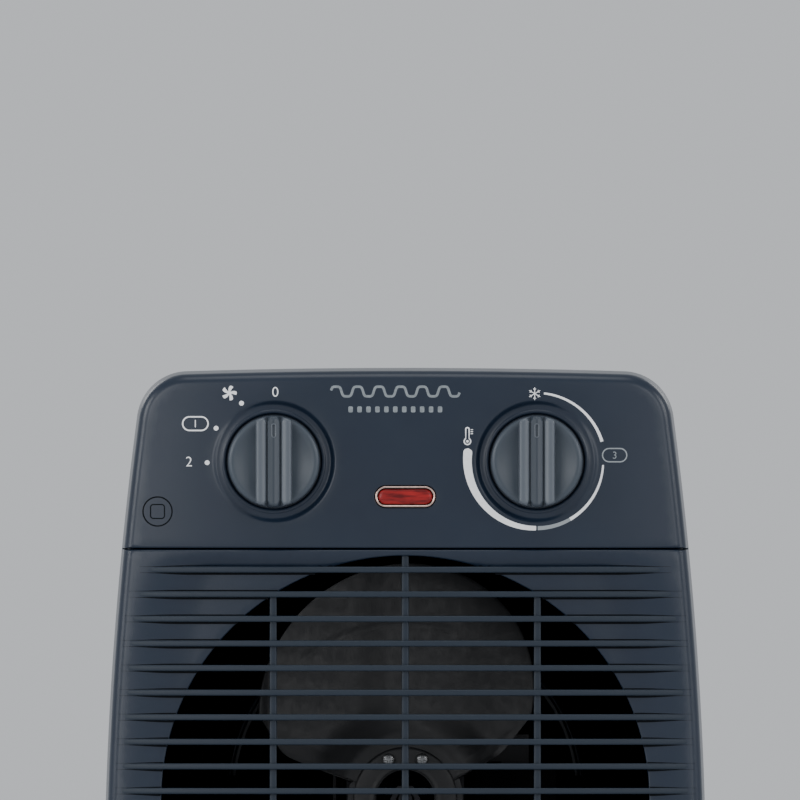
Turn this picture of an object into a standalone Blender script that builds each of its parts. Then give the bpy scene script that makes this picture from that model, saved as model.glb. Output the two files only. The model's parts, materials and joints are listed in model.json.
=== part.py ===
"""Portable fan space heater: an upright plastic case, a round ribbed outlet with a two-petal fan behind it,
ceramic heating banks, two panel knobs, an indicator lamp and a tip-over switch.

Front faces -Y, up is +Z, the origin is on the floor under the middle of the object.
Every length in this file is in millimetres and every angle in degrees; MM turns them into Blender's metres.
"""

import math

import bmesh
import bpy

MM = 0.001

# Case outline, seen from the front
BODY_BOTTOM = 8.0
BODY_TOP = 240.6
TOP_CROWN = 1.1
WIDEST = 99.8
WIDEST_AT = 59.0
SIDE_TAPER = 0.0004
CORNER_LOW = 16.0
CORNER_TOP = 17.0

# Case outline, seen from the side and from above
FRONT_Y = -62.0
REAR_Y = 68.0
BOW_DEPTH = 6.5
BOW_AT = 95.0
BOW_POWER = 2.4
REAR_BOW = 5.0
SLOPE_START = 168.0
SLOPE_DROP = 27.0
PARTING_Y = -20.0
WALL = 2.5
FRONT_WALL = 4.5
SEAM_Z = 180.7
SEAM_GAP = 0.6
EDGE_FRONT = 3.5
EDGE_REAR = 11.5
REAR_DRAFT = 3.0

# Outlet and its ribs
AXIS_Z = 98.0
OPENING_R = 80.5
RECESS = 2.0
RIB_TOP_Z = 173.9
RIB_PITCH = 8.12
RIB_COUNT = 20
RIB_HEIGHT = 2.05
RIB_DEPTH = 4.0
BAR_X = 43.6
BAR_WIDTH = 2.4

# Controls
KNOB_X = 43.4
KNOB_Z = 209.6
KNOB_R = 15.2
DISH_R = 19.3
DISH_STEP_Y = -60.2
WELL_R = 15.9
WELL_Y = -59.2
KNOB_FRONT_Y = -71.0
GRIP_WIDTH = 11.9
SHAFT_R = 3.0
LAMP_Z = 198.0
LAMP_LENGTH = 19.8
LAMP_HEIGHT = 6.9

# Fan; the petal's corners are (x, z) from the axis, outwards from its foot on each side
FAN_Y = -36.0
BLADE_THICK = 1.5
PETAL_R = 45.2
PETAL_OFFSET = 32.7
PETAL_LEAN = 0.09
PETAL_LEAN_FROM = 65.0
PETAL_RIGHT = ((17.6, 6.7), (31.6, 14.7), (41.3, 27.0))
PETAL_LEFT = ((-17.6, 5.5), (-31.2, 10.9), (-40.7, 14.7), (-47.3, 26.0))
PETAL_PITCH = 0.34
HUB_R = 17.6
NECK_R = 19.0
HUB_BORE_R = 9.5
HUB_SCREWS = ((5.6, 13.0), (-5.6, 13.0), (5.6, -13.0), (-5.6, -13.0))
DUCT_R = 81.5
DUCT_FRONT = -51.6
DUCT_BACK = 27.2

# Motor
ROTOR_R = 15.2
ROTOR_BORE_R = 16.0
STATOR_DEPTH = 15.0
STATOR_HALF_HEIGHT = 21.0
STRAP_HALF_HEIGHT = 8.0
MOUNT_Y = (27.5, 30.5)
MOUNT_HALF_LENGTH = 84.5

# Ceramic heating banks
BANK_HALF = 36.0
BANK_FROM = 25.0
FIN_HEIGHT = 9.0
FIN_THICK = 0.7
FIN_FOLDS = 12
STRIP_HEIGHT = 2.4
BANK_Y = (2.0, 16.0)

# Rear
GUARD_Z = 98.0
GUARD_R = 57.6
GUARD_FLANGE_R = 63.0
GUARD_PITCH = 9.0
FILTER_R = 57.0
FILTER_Y = (60.2, 62.7)
POCKET_LOW = (-48.0, 15.0, 191.0)
POCKET_HIGH = (48.0, 90.0, 222.0)
LIP_TOP = 229.0
LIP_Y = 34.0
GLAND = (62.0, 0.0, 33.5)

# Screws, from the rear into posts of the two front mouldings
SCREW_LOW = (79.0, 28.5)
SCREW_HIGH = (71.5, 192.0)
POST_R = 5.0
POST_START = -54.5
POST_END = 9.7
PILOT_R = 1.9

# Base
BASE_WIDTH = 172.0
BASE_DEPTH = 108.0
BASE_CORNER = 22.0
BASE_UNDERSIDE = 2.9
FEET = {"front_left": (-68, -36), "front_right": (68, -36), "rear_left": (-68, 40), "rear_right": (68, 40)}
PLUNGER = (0.0, 46.0)
PLUNGER_R = 4.0
PLUNGER_COLLAR = (18.0, 19.6)

GAP = 0.3
ROUND = 40


# ---------------------------------------------------------------- materials and basic solids


def material(name, colour, roughness=0.5, metallic=0.0):
    made = bpy.data.materials.new(name)
    made.use_nodes = True
    shader = made.node_tree.nodes["Principled BSDF"]
    shader.inputs["Base Color"].default_value = (*colour, 1.0)
    shader.inputs["Roughness"].default_value = roughness
    shader.inputs["Metallic"].default_value = metallic
    return made


def make(name, points, faces, surface):
    """A mesh object from points in millimetres, its faces turned outwards."""
    mesh = bpy.data.meshes.new(name)
    mesh.from_pydata([tuple(MM * value for value in point) for point in points], [], faces)
    work = bmesh.new()
    work.from_mesh(mesh)
    bmesh.ops.remove_doubles(work, verts=work.verts, dist=1e-7)
    bmesh.ops.recalc_face_normals(work, faces=work.faces)
    work.to_mesh(mesh)
    work.free()
    mesh.shade_smooth()
    mesh.set_sharp_from_angle(angle=math.radians(35))
    if surface:
        mesh.materials.append(surface)
    made = bpy.data.objects.new(name, mesh)
    bpy.context.scene.collection.objects.link(made)
    return made


def box(name, low, high, surface):
    points = [(x, y, z) for x in (low[0], high[0]) for y in (low[1], high[1]) for z in (low[2], high[2])]
    faces = [(0, 1, 3, 2), (4, 6, 7, 5), (0, 4, 5, 1), (2, 3, 7, 6), (0, 2, 6, 4), (1, 5, 7, 3)]
    return make(name, points, faces, surface)


def turned(name, profile, centre, axis, surface, steps=ROUND, ring=False):
    """Turns (radius, along) points about an axis; ring closes a profile that keeps off the axis."""
    points = []
    for radius, along in profile:
        for step in range(steps):
            turn = math.tau * step / steps
            across, up = radius * math.cos(turn), radius * math.sin(turn)
            local = {"X": (along, across, up), "Y": (across, along, up), "Z": (across, up, along)}[axis]
            points.append(tuple(c + v for c, v in zip(centre, local)))
    faces = []
    count = len(profile)
    for row in range(count if ring else count - 1):
        first, second = row * steps, (row + 1) % count * steps
        for step in range(steps):
            after = (step + 1) % steps
            faces.append((first + step, first + after, second + after, second + step))
    if not ring:
        faces.append(tuple(range(steps)))
        faces.append(tuple((count - 1) * steps + step for step in range(steps)))
    return make(name, points, faces, surface)


def rod(name, radius, low, high, centre, axis, surface, steps=ROUND):
    return turned(name, [(radius, low), (radius, high)], centre, axis, surface, steps)


def prism(name, outline, low, high, surface, axis="Y"):
    """Extrudes a closed outline of (x, z) points along Y, or of (x, y) points along Z."""
    count = len(outline)
    ends = [(u, end, v) if axis == "Y" else (u, v, end) for end in (low, high) for u, v in outline]
    faces = [tuple(range(count)), tuple(range(count, 2 * count))]
    for i in range(count):
        after = (i + 1) % count
        faces.append((i, after, count + after, count + i))
    return make(name, ends, faces, surface)


def combine(target, others, operation="DIFFERENCE"):
    """Cuts from target, or joins to it, each of the others, which become hidden helpers."""
    for other in others:
        step = target.modifiers.new(other.name, "BOOLEAN")
        step.object = other
        step.operation = operation
        step.solver = "EXACT"
        other.hide_render = True
        other.display_type = "WIRE"
    return target


def merged(name, pieces):
    """One helper object out of several that stay clear of each other, for one Boolean."""
    points, faces = [], []
    for piece in pieces:
        first = len(points)
        points += [tuple(value / MM for value in vertex.co) for vertex in piece.data.vertices]
        faces += [tuple(first + i for i in face.vertices) for face in piece.data.polygons]
        bpy.data.objects.remove(piece)
    return make(name, points, faces, None)


def pivot(name, place):
    """An empty on a joint's axis, which the moving pieces are parented to."""
    empty = bpy.data.objects.new(name, None)
    empty.location = [MM * value for value in place]
    bpy.context.scene.collection.objects.link(empty)
    return empty


def hang(pieces, parent):
    bpy.context.view_layer.update()
    for piece in pieces:
        piece.parent = parent
        piece.matrix_parent_inverse = parent.matrix_world.inverted()


def pill(length, height, steps=8):
    """Outline of a bar with round ends, centred on (0, 0)."""
    radius, half = height / 2, (length - height) / 2
    points = []
    for side in (1, -1):
        for step in range(steps + 1):
            turn = math.pi * (step / steps - 0.5)
            points.append((side * (half + radius * math.cos(turn)), side * radius * math.sin(turn)))
    return points


def rounded(width, depth, radius, steps=5):
    """Outline of a rectangle with round corners, centred on (0, 0)."""
    points = []
    for quarter in range(4):
        sign_x = 1 if quarter in (0, 3) else -1
        sign_y = 1 if quarter in (0, 1) else -1
        for step in range(steps + 1):
            turn = math.pi / 2 * (quarter + step / steps)
            points.append((
                sign_x * (width / 2 - radius) + radius * math.cos(turn),
                sign_y * (depth / 2 - radius) + radius * math.sin(turn),
            ))
    return points


# ---------------------------------------------------------------- the case's shape


def half_width(z):
    return WIDEST - SIDE_TAPER * (z - WIDEST_AT) ** 2


def side_points(corner_steps=3, side_steps=8):
    """Right-hand edge of the case from the bottom corner to the top one, as (x, z)."""
    points = []
    low_z = BODY_BOTTOM + CORNER_LOW
    low_x = half_width(low_z) - CORNER_LOW
    for step in range(corner_steps + 1):
        turn = math.radians(-90 + 90 * step / corner_steps)
        points.append((low_x + CORNER_LOW * math.cos(turn), low_z + CORNER_LOW * math.sin(turn)))
    lean = math.radians(7.5)
    top_z = BODY_TOP - TOP_CROWN - CORNER_TOP
    tangent_z = top_z + CORNER_TOP * math.sin(lean)
    top_x = half_width(tangent_z) - CORNER_TOP * math.cos(lean)
    for step in range(1, side_steps):
        z = low_z + (tangent_z - low_z) * step / side_steps
        points.append((half_width(z), z))
    for step in range(corner_steps + 1):
        turn = lean + (math.pi / 2 - lean) * step / corner_steps
        points.append((top_x + CORNER_TOP * math.cos(turn), top_z + CORNER_TOP * math.sin(turn)))
    return points


def edge_loop(inset, across):
    """The outline moved inwards by inset: bottom, right side, top, left side, as (x, z)."""
    side = side_points()
    corner_x, corner_z = side[-1]
    loop = []
    for step in range(across):
        loop.append((side[0][0] * (2 * step / across - 1), BODY_BOTTOM))
    loop += side
    for step in range(1, across):
        x = corner_x * (1 - 2 * step / across)
        loop.append((x, corner_z + TOP_CROWN * (1 - (x / corner_x) ** 2)))
    loop += [(-x, z) for x, z in reversed(side)][:-1]
    moved = []
    for i, (x, z) in enumerate(loop):
        before, after = loop[i - 1], loop[(i + 1) % len(loop)]
        run, rise = after[0] - before[0], after[1] - before[1]
        length = math.hypot(run, rise)
        moved.append((x - inset * rise / length, z + inset * run / length))
    return moved


def front_y(x):
    return FRONT_Y + BOW_DEPTH * (abs(x) / BOW_AT) ** BOW_POWER


def rear_y(x, z):
    """The rear face: upright, then leaning forward above SLOPE_START."""
    above = max(0.0, z - SLOPE_START) / (BODY_TOP - SLOPE_START)
    return REAR_Y - REAR_BOW * (abs(x) / BOW_AT) ** 2 - SLOPE_DROP * above ** 1.5


def case_solid(name, shell, front_wall, across=10):
    """The whole case as one solid, shrunk by shell all round and by front_wall at the front."""
    rings = []
    front_edge = max(EDGE_FRONT - shell, 0.8)
    rear_edge = EDGE_REAR - shell
    for step in range(3):
        turn = math.pi / 2 * step / 2
        inset = shell + 1.0 + front_edge * (1 - math.sin(turn))
        drop = front_wall + front_edge * (1 - math.cos(turn))
        rings.append([(x, front_y(x) + drop, z) for x, z in edge_loop(inset, across)])
    rings.append([(x, PARTING_Y, z) for x, z in edge_loop(shell, across)])
    for step in range(4):
        turn = math.pi / 2 * step / 3
        inset = shell + REAR_DRAFT + rear_edge * (1 - math.cos(turn))
        drop = shell + rear_edge * (1 - math.sin(turn))
        rings.append([(x, rear_y(x, z) - drop, z) for x, z in edge_loop(inset, across)])
    points = [point for ring in rings for point in ring]
    count = len(rings[0])
    faces = []
    for row in range(len(rings) - 1):
        for i in range(count):
            after = (i + 1) % count
            first, second = row * count, (row + 1) * count
            faces.append((first + i, first + after, second + after, second + i))
    rows = (count - 2 * across) // 2
    fill_end(points, faces, 0, count, across, rows, lambda x, z: front_y(x) + front_wall)
    last = (len(rings) - 1) * count
    fill_end(points, faces, last, count, across, rows, lambda x, z: rear_y(x, z) - shell)
    return make(name, points, faces, None)


def fill_end(points, faces, first, count, across, rows, height):
    """Closes one end ring with a grid of quads whose rows join the left side to the right."""
    grid = []
    for row in range(rows + 1):
        left = first + (count - row) % count if row else first
        right = first + across + row
        if row == 0:
            line = [first + step for step in range(across)] + [right]
        elif row == rows:
            line = [first + count - rows - step for step in range(across)] + [right]
        else:
            low, high = points[left], points[right]
            line = [left]
            for step in range(1, across):
                share = step / across
                x = low[0] + (high[0] - low[0]) * share
                z = low[2] + (high[2] - low[2]) * share
                z += TOP_CROWN * (row / rows) ** 8 * (1 - (2 * share - 1) ** 2)
                line.append(len(points))
                points.append((x, height(x, z), z))
            line.append(right)
        grid.append(line)
    for lower, upper in zip(grid, grid[1:]):
        for step in range(across):
            faces.append((lower[step], lower[step + 1], upper[step + 1], upper[step]))


def region(name, low_y, high_y, low_z, high_z):
    return box(name, (-130, low_y, low_z), (130, high_y, high_z), None)


def shell_part(name, zone, surface):
    """The case wall inside a zone: outer solid, cut to the zone, less the inner solid."""
    outer = case_solid(name, 0.0, 0.0)
    outer.data.materials.append(surface)
    combine(outer, [zone], "INTERSECT")
    combine(outer, [case_solid(name + "_core", WALL, FRONT_WALL, 6)])
    return outer


# ---------------------------------------------------------------- colours

body_plastic = material("body_plastic", (0.045, 0.062, 0.088), 0.48)
knob_plastic = material("knob_plastic", (0.075, 0.092, 0.115), 0.42)
inner_plastic = material("inner_plastic", (0.012, 0.013, 0.015), 0.6)
fan_metal = material("fan_metal", (0.05, 0.053, 0.058), 0.45, 0.6)
steel = material("steel", (0.55, 0.56, 0.58), 0.3, 1.0)
laminations = material("laminations", (0.2, 0.2, 0.22), 0.45, 0.9)
aluminium = material("aluminium", (0.6, 0.61, 0.63), 0.35, 1.0)
ceramic = material("ceramic", (0.72, 0.68, 0.6), 0.5)
rubber = material("rubber", (0.02, 0.02, 0.022), 0.8)
red_lens = material("red_lens", (0.35, 0.03, 0.03), 0.15)
bezel_metal = material("bezel_metal", (0.45, 0.3, 0.26), 0.25, 1.0)
switch_plastic = material("switch_plastic", (0.6, 0.6, 0.56), 0.5)
black_steel = material("black_steel", (0.05, 0.05, 0.055), 0.4, 0.9)
winding_tape = material("winding_tape", (0.02, 0.02, 0.022), 0.6)
filter_foam = material("filter_foam", (0.012, 0.012, 0.014), 0.9)
neon_glass = material("neon_glass", (0.9, 0.5, 0.3), 0.1)


# ---------------------------------------------------------------- case shells


def recess_end(z):
    """How far from the middle the recess between the ribs reaches at a height."""
    below = max(0.0, RIB_TOP_Z + 5.0 - z)
    return half_width(z) - 3.4 - 8.5 * math.exp(-below / 9.0)


def recess_cutter():
    """Lowers the surface between the ribs; its floor rises through the case surface towards the sides."""
    columns, rows = 14, 6
    low_z, high_z = 13.0, 179.0
    points = []
    for row in range(rows + 1):
        z = low_z + (high_z - low_z) * row / rows
        for column in range(columns + 1):
            x = -104.0 + 208.0 * column / columns
            depth = RECESS * (1 - (abs(x) / recess_end(z)) ** 6)
            points.append((x, front_y(x) + max(depth, -2.0), z))
    front = len(points)
    points += [(x, -80.0, z) for x, _, z in points]
    faces = []
    wide = columns + 1
    for row in range(rows):
        for column in range(columns):
            i = row * wide + column
            faces.append((i, i + 1, i + wide + 1, i + wide))
            faces.append((front + i, front + i + wide, front + i + wide + 1, front + i + 1))
    rim = list(range(columns))
    rim += [row * wide + columns for row in range(rows)]
    rim += [rows * wide + columns - column for column in range(columns)]
    rim += [(rows - row) * wide for row in range(rows)]
    for i, after in zip(rim, rim[1:] + rim[:1]):
        faces.append((i, after, front + after, front + i))
    return make("recess_cutter", points, faces, None)


def rib(index):
    """One horizontal rib, following the bowed front, its ends sunk in the cheeks."""
    z = RIB_TOP_Z - RIB_PITCH * index
    reach = min(recess_end(z), half_width(z) - EDGE_FRONT - 1.5)
    steps = 8
    points, faces = [], []
    for step in range(steps + 1):
        x = reach * (2 * step / steps - 1)
        near = front_y(x) + 0.15
        for y, up in ((near, -1), (near + RIB_DEPTH, -1), (near + RIB_DEPTH, 1), (near, 1)):
            points.append((x, y, z + up * RIB_HEIGHT / 2))
    for step in range(steps):
        for corner in range(4):
            after = (corner + 1) % 4
            first, second = 4 * step, 4 * step + 4
            faces.append((first + corner, first + after, second + after, second + corner))
    faces.append((0, 1, 2, 3))
    faces.append(tuple(4 * steps + corner for corner in range(4)))
    return make(f"rib_{index}", points, faces, None)


def upright_bar(x):
    """A bar behind the ribs, from edge to edge of the outlet."""
    half = math.sqrt(OPENING_R**2 - x**2) + 2.0
    near = front_y(x) + RECESS + 0.3
    low = (x - BAR_WIDTH / 2, near, AXIS_Z - half)
    high = (x + BAR_WIDTH / 2, near + 2.1, AXIS_Z + half)
    return box(f"bar_{x:.0f}", low, high, None)


def front_cover():
    zone = region("front_zone", -90, PARTING_Y - 0.15, 0, SEAM_Z - SEAM_GAP / 2)
    cover = shell_part("front_cover", zone, body_plastic)
    outlet = rod("outlet_cutter", OPENING_R, -80, -50, (0, 0, AXIS_Z), "Y", None, 56)
    combine(cover, [recess_cutter(), outlet])
    combine(cover, [merged("bars", [upright_bar(x) for x in (-BAR_X, 0, BAR_X)])], "UNION")
    combine(cover, [merged("ribs", [rib(i) for i in range(RIB_COUNT)])], "UNION")
    x, z = SCREW_LOW
    posts = [rod(f"low_post_{s}", POST_R, POST_START, POST_END, (s * x, 0, z), "Y", None, 16) for s in (-1, 1)]
    holes = [rod(f"low_hole_{s}", PILOT_R, -10, 20, (s * x, 0, z), "Y", None, 12) for s in (-1, 1)]
    combine(cover, [merged("low_posts", posts)], "UNION")
    return combine(cover, [merged("low_holes", holes)])


def control_panel():
    zone = region("panel_zone", -90, PARTING_Y - 0.15, SEAM_Z + SEAM_GAP / 2, 260)
    panel = shell_part("control_panel", zone, body_plastic)
    bosses, dishes, wells, bores = [], [], [], []
    for s in (-1, 1):
        centre = (s * KNOB_X, 0, KNOB_Z)
        bosses.append(rod(f"boss_{s}", 21.5, -59.4, -55.4, centre, "Y", None))
        dishes.append(rod(f"dish_{s}", DISH_R, -80, DISH_STEP_Y, centre, "Y", None, 48))
        wells.append(rod(f"well_{s}", WELL_R, -62, WELL_Y, centre, "Y", None, 48))
        bores.append(rod(f"bore_{s}", 6.0, -62, -50, centre, "Y", None, 24))
    combine(panel, [merged("knob_bosses", bosses)], "UNION")
    for name, cutters in (("dishes", dishes), ("wells", wells), ("bores", bores)):
        combine(panel, [merged("knob_" + name, cutters)])
    slot = [(x, z + LAMP_Z) for x, z in pill(LAMP_LENGTH - 1.0, LAMP_HEIGHT - 1.0)]
    seat = [(x, z + LAMP_Z) for x, z in pill(LAMP_LENGTH + 0.6, LAMP_HEIGHT + 0.6)]
    combine(panel, [prism("lamp_slot", slot, -70, -50, None), prism("lamp_seat", seat, -70, -61.0, None)])
    x, z = SCREW_HIGH
    posts = [rod(f"high_post_{s}", POST_R, POST_START, POST_END, (s * x, 0, z), "Y", None, 16) for s in (-1, 1)]
    holes = [rod(f"high_hole_{s}", PILOT_R, -10, 20, (s * x, 0, z), "Y", None, 12) for s in (-1, 1)]
    combine(panel, [merged("high_posts", posts)], "UNION")
    return combine(panel, [merged("high_holes", holes)])


def screw_places():
    places = {}
    for side, s in (("left", -1), ("right", 1)):
        places["lower_" + side] = (s * SCREW_LOW[0], SCREW_LOW[1])
        places["upper_" + side] = (s * SCREW_HIGH[0], SCREW_HIGH[1])
    return places


def rear_housing():
    zone = region("rear_zone", PARTING_Y + 0.15, 90, 0, 260)
    housing = shell_part("rear_housing", zone, body_plastic)
    places = screw_places()
    tubes = [rod(f"tube_{n}", 6.8, 10.0, 80.0, (x, 0, z), "Y", None, 20) for n, (x, z) in places.items()]
    bores = [rod(f"counterbore_{n}", 4.6, 13.0, 90.0, (x, 0, z), "Y", None, 20) for n, (x, z) in places.items()]
    holes = [rod(f"screw_hole_{n}", 2.1, 5.0, 20.0, (x, 0, z), "Y", None, 12) for n, (x, z) in places.items()]
    wall_low = [value - WALL for value in POCKET_LOW]
    wall_high = (POCKET_HIGH[0] + WALL, 80.0, LIP_TOP + WALL)
    pocket_wall = box("pocket_wall", wall_low, wall_high, None)
    combine(pocket_wall, [case_solid("pocket_limit", 0.6, 0.6)], "INTERSECT")
    screw_tubes = combine(merged("screw_tubes", tubes), [case_solid("tube_limit", 0.6, 0.6)], "INTERSECT")
    combine(housing, [screw_tubes, pocket_wall], "UNION")
    combine(housing, [merged("counterbores", bores), merged("screw_holes", holes)])
    combine(housing, [box("grip_pocket", POCKET_LOW, POCKET_HIGH, None)])
    lip_low = (POCKET_LOW[0], POCKET_LOW[1], POCKET_LOW[2] + 14.0)
    combine(housing, [box("grip_lip", lip_low, (POCKET_HIGH[0], LIP_Y, LIP_TOP), None)])
    combine(housing, [rod("inlet_hole", GUARD_R + 0.4, 50, 90, (0, 0, GUARD_Z), "Y", None, 48)])
    combine(housing, [rod("gland_hole", 7.0, 50, 90, (GLAND[0], 0, GLAND[2]), "Y", None, 24)])
    return combine(housing, [rod("plunger_hole", PLUNGER_R + 0.6, 0, 20, (*PLUNGER, 0), "Z", None, 20)])


def rear_guard():
    profile = [(GUARD_R, 63.0), (GUARD_R, 68.3), (GUARD_FLANGE_R, 68.3), (GUARD_FLANGE_R, 69.8), (61.8, 71.0)]
    guard = turned("rear_guard", profile, (0, 0, GUARD_Z), "Y", body_plastic, 48)
    slots = []
    for row in range(-5, 6):
        z = GUARD_Z + GUARD_PITCH * row
        reach = math.sqrt((GUARD_R - 4.0) ** 2 - (abs(GUARD_PITCH * row) + 2.5) ** 2)
        for s in (-1, 1):
            low, high = sorted((s * 2.0, s * reach))
            slots.append(box(f"slot_{row}_{s}", (low, 60, z - 2.5), (high, 75, z + 2.5), None))
    combine(guard, [merged("guard_slots", slots)])
    rod("dust_filter", FILTER_R, *FILTER_Y, (0, 0, GUARD_Z), "Y", filter_foam, 48)


# ---------------------------------------------------------------- base


def base():
    outline = [(x, y + 2.0) for x, y in rounded(BASE_WIDTH, BASE_DEPTH, BASE_CORNER)]
    plate = prism("base_plate", outline, BASE_UNDERSIDE, BODY_BOTTOM - GAP, inner_plastic, "Z")
    holes = [rod(f"peg_hole_{n}", 3.3, 0, 12, (x, y, 0), "Z", None, 16) for n, (x, y) in FEET.items()]
    holes.append(rod("base_plunger_hole", PLUNGER_R + 0.6, 0, 12, (*PLUNGER, 0), "Z", None, 20))
    combine(plate, [merged("base_holes", holes)])
    for name, (x, y) in FEET.items():
        profile = [(7.6, 0.0), (9.0, 1.2), (9.0, 2.6), (3.0, 2.6), (3.0, 6.6)]
        turned("foot_" + name, profile, (x, y, 0), "Z", rubber, 24)


def rear_screws():
    for name, (x, z) in screw_places().items():
        profile = [(1.6, -6.0), (1.6, 13.3), (3.8, 13.3), (3.8, 15.4), (2.8, 16.4)]
        turned("screw_" + name, profile, (x, 0, z), "Y", steel, 16)


# ---------------------------------------------------------------- fan, motor and duct


def petal_reach(turn):
    """Distance of the petal's curved edge from the axis; turn is clockwise from its top."""
    across, up = math.sin(turn) - PETAL_LEAN * math.cos(turn), math.cos(turn)
    shift = PETAL_LEAN * PETAL_LEAN_FROM
    square = across**2 + up**2
    linear = 2 * (shift * across - PETAL_OFFSET * up)
    rest = shift**2 + PETAL_OFFSET**2 - PETAL_R**2
    return (math.sqrt(linear**2 - 4 * square * rest) - linear) / (2 * square)


def blade_edge():
    """Both petals' outline as (turn, reach) from the axis, clockwise, with a neck between the petals."""
    arc_steps, neck_steps = 15, 2
    edge = [(math.atan2(x, z), math.hypot(x, z)) for x, z in PETAL_LEFT]
    first, last = edge[-1][0], math.atan2(*PETAL_RIGHT[-1])
    for step in range(1, arc_steps):
        turn = first + (last - first) * step / arc_steps
        edge.append((turn, petal_reach(turn)))
    edge += [(math.atan2(x, z), math.hypot(x, z)) for x, z in reversed(PETAL_RIGHT)]
    start, end = edge[-1][0], edge[0][0] + math.pi
    for step in range(1, neck_steps + 1):
        edge.append((start + (end - start) * step / (neck_steps + 1), NECK_R))
    return edge + [(turn + math.pi, reach) for turn, reach in edge]


def blade_y(x, z):
    """The pressed blade: flat at the hub, its petals pitched the same way round."""
    radius = math.hypot(x, z)
    share = min(max((radius - HUB_R) / 16.0, 0.0), 1.0)
    twist = share * share * (3 - 2 * share)
    return FAN_Y + PETAL_PITCH * x * twist * math.tanh(z / 9.0)


def fan_blade():
    edge, rows = blade_edge(), 4
    steps = len(edge)
    points, faces = [], []
    for side in (-1, 1):
        for row in range(rows + 1):
            for turn, reach in edge:
                radius = HUB_R + (reach - HUB_R) * (row - 1) / (rows - 1) if row else HUB_BORE_R
                x, z = radius * math.sin(turn), radius * math.cos(turn)
                points.append((x, blade_y(x, z) + side * BLADE_THICK / 2, AXIS_Z + z))
    sheet = (rows + 1) * steps
    for step in range(steps):
        after = (step + 1) % steps
        for row in range(rows):
            a, b = row * steps, (row + 1) * steps
            faces.append((a + step, a + after, b + after, b + step))
            faces.append((sheet + a + step, sheet + b + step, sheet + b + after, sheet + a + after))
        faces.append((step, sheet + step, sheet + after, after))
        rim = rows * steps
        faces.append((rim + step, rim + after, sheet + rim + after, sheet + rim + step))
    blade = make("fan_blade", points, faces, fan_metal)
    return combine(blade, [hub_holes("blade_holes")])


def hub_holes(name):
    """Cutters for the four screws that clamp the blade to its hub."""
    holes = []
    for index, (x, z) in enumerate(HUB_SCREWS):
        holes.append(rod(f"{name}_{index}", 1.5, -60, -20, (x, 0, AXIS_Z + z), "Y", None, 8))
    return merged(name, holes)


def fan():
    centre = (0, 0, AXIS_Z)
    blade = fan_blade()
    clamp = turned("fan_clamp_ring", [(9.9, -38.6), (9.9, -37.1), (17.2, -37.1), (17.2, -38.0), (16.6, -38.6)],
                   centre, "Y", fan_metal, 32, ring=True)
    combine(clamp, [hub_holes("clamp_holes")])
    profile = [(2.6, -39.0), (2.6, -24.0), (6.0, -24.0), (7.0, -33.2), (17.0, -33.6), (17.0, -34.9),
               (7.5, -34.9), (6.5, -39.0)]
    hub = turned("fan_hub", profile, centre, "Y", inner_plastic, 24, ring=True)
    combine(hub, [hub_holes("hub_holes")])
    pieces = [blade, clamp, hub]
    for index, (x, z) in enumerate(HUB_SCREWS, 1):
        profile = [(1.1, -32.6), (1.1, -38.9), (2.1, -38.9), (2.1, -39.8), (1.4, -40.4)]
        pieces.append(turned(f"hub_screw_{index}", profile, (x, 0, AXIS_Z + z), "Y", steel, 12))
    pieces.append(turned("shaft_nut", [(3.1, -42.6), (3.1, -39.3), (5.0, -39.3), (5.0, -42.6)], centre, "Y",
                         black_steel, 6, ring=True))
    pieces.append(rod("motor_shaft", 2.3, -44.0, 24.0, centre, "Y", black_steel, 20))
    pieces.append(turned("motor_rotor", [(2.6, 0.5), (2.6, 14.5), (ROTOR_R, 14.5), (ROTOR_R, 0.5)], centre, "Y",
                         laminations, ring=True))
    hang(pieces, pivot("fan_axis", centre))


def bearing_bracket(name, side):
    """A strap over the rotor with a bearing; side is -1 in front of the stator and 1 behind it."""
    face = -GAP if side < 0 else STATOR_DEPTH + GAP
    out = face + side * 6.0
    outline = [(-23.0, face), (-19.0, face), (-17.0, out - side * 2), (17.0, out - side * 2), (19.0, face),
               (23.0, face), (19.5, out), (-19.5, out)]
    strap = prism(name, outline, AXIS_Z - STRAP_HALF_HEIGHT, AXIS_Z + STRAP_HALF_HEIGHT, black_steel, "Z")
    low, high = sorted((out - side, out + side * 4))
    boss = rod(name + "_boss", 6.0, low, high, (0, 0, AXIS_Z), "Y", None, 24)
    hole = rod(name + "_hole", 2.6, -30, 40, (0, 0, AXIS_Z), "Y", None, 20)
    combine(strap, [boss], "UNION")
    return combine(strap, [hole])


def motor():
    low_z, high_z = AXIS_Z - STATOR_HALF_HEIGHT, AXIS_Z + STATOR_HALF_HEIGHT
    stator = box("motor_stator", (-24.0, 0.0, low_z), (41.0, STATOR_DEPTH, high_z), laminations)
    combine(stator, [rod("rotor_bore", ROTOR_BORE_R, -5, 20, (0, 0, AXIS_Z), "Y", None)])
    combine(stator, [box("coil_window", (22.0, -5, AXIS_Z - 12.0), (32.0, 20, AXIS_Z + 12.0), None)])
    coil = box("motor_coil", (23.0, -8.0, AXIS_Z - 11.4), (50.0, 23.0, AXIS_Z + 11.4), winding_tape)
    combine(coil, [box("coil_core", (31.5, -0.5, AXIS_Z - 20), (41.5, 15.5, AXIS_Z + 20), None)])
    bearing_bracket("motor_front_bracket", -1)
    bearing_bracket("motor_rear_bracket", 1)
    low = (-MOUNT_HALF_LENGTH, MOUNT_Y[0], AXIS_Z - 7.0)
    high = (MOUNT_HALF_LENGTH, MOUNT_Y[1], AXIS_Z + 7.0)
    mount = box("motor_mount", low, high, inner_plastic)
    combine(mount, [rod("mount_hole", 6.6, 20, 40, (0, 0, AXIS_Z), "Y", None, 24)])


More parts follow.
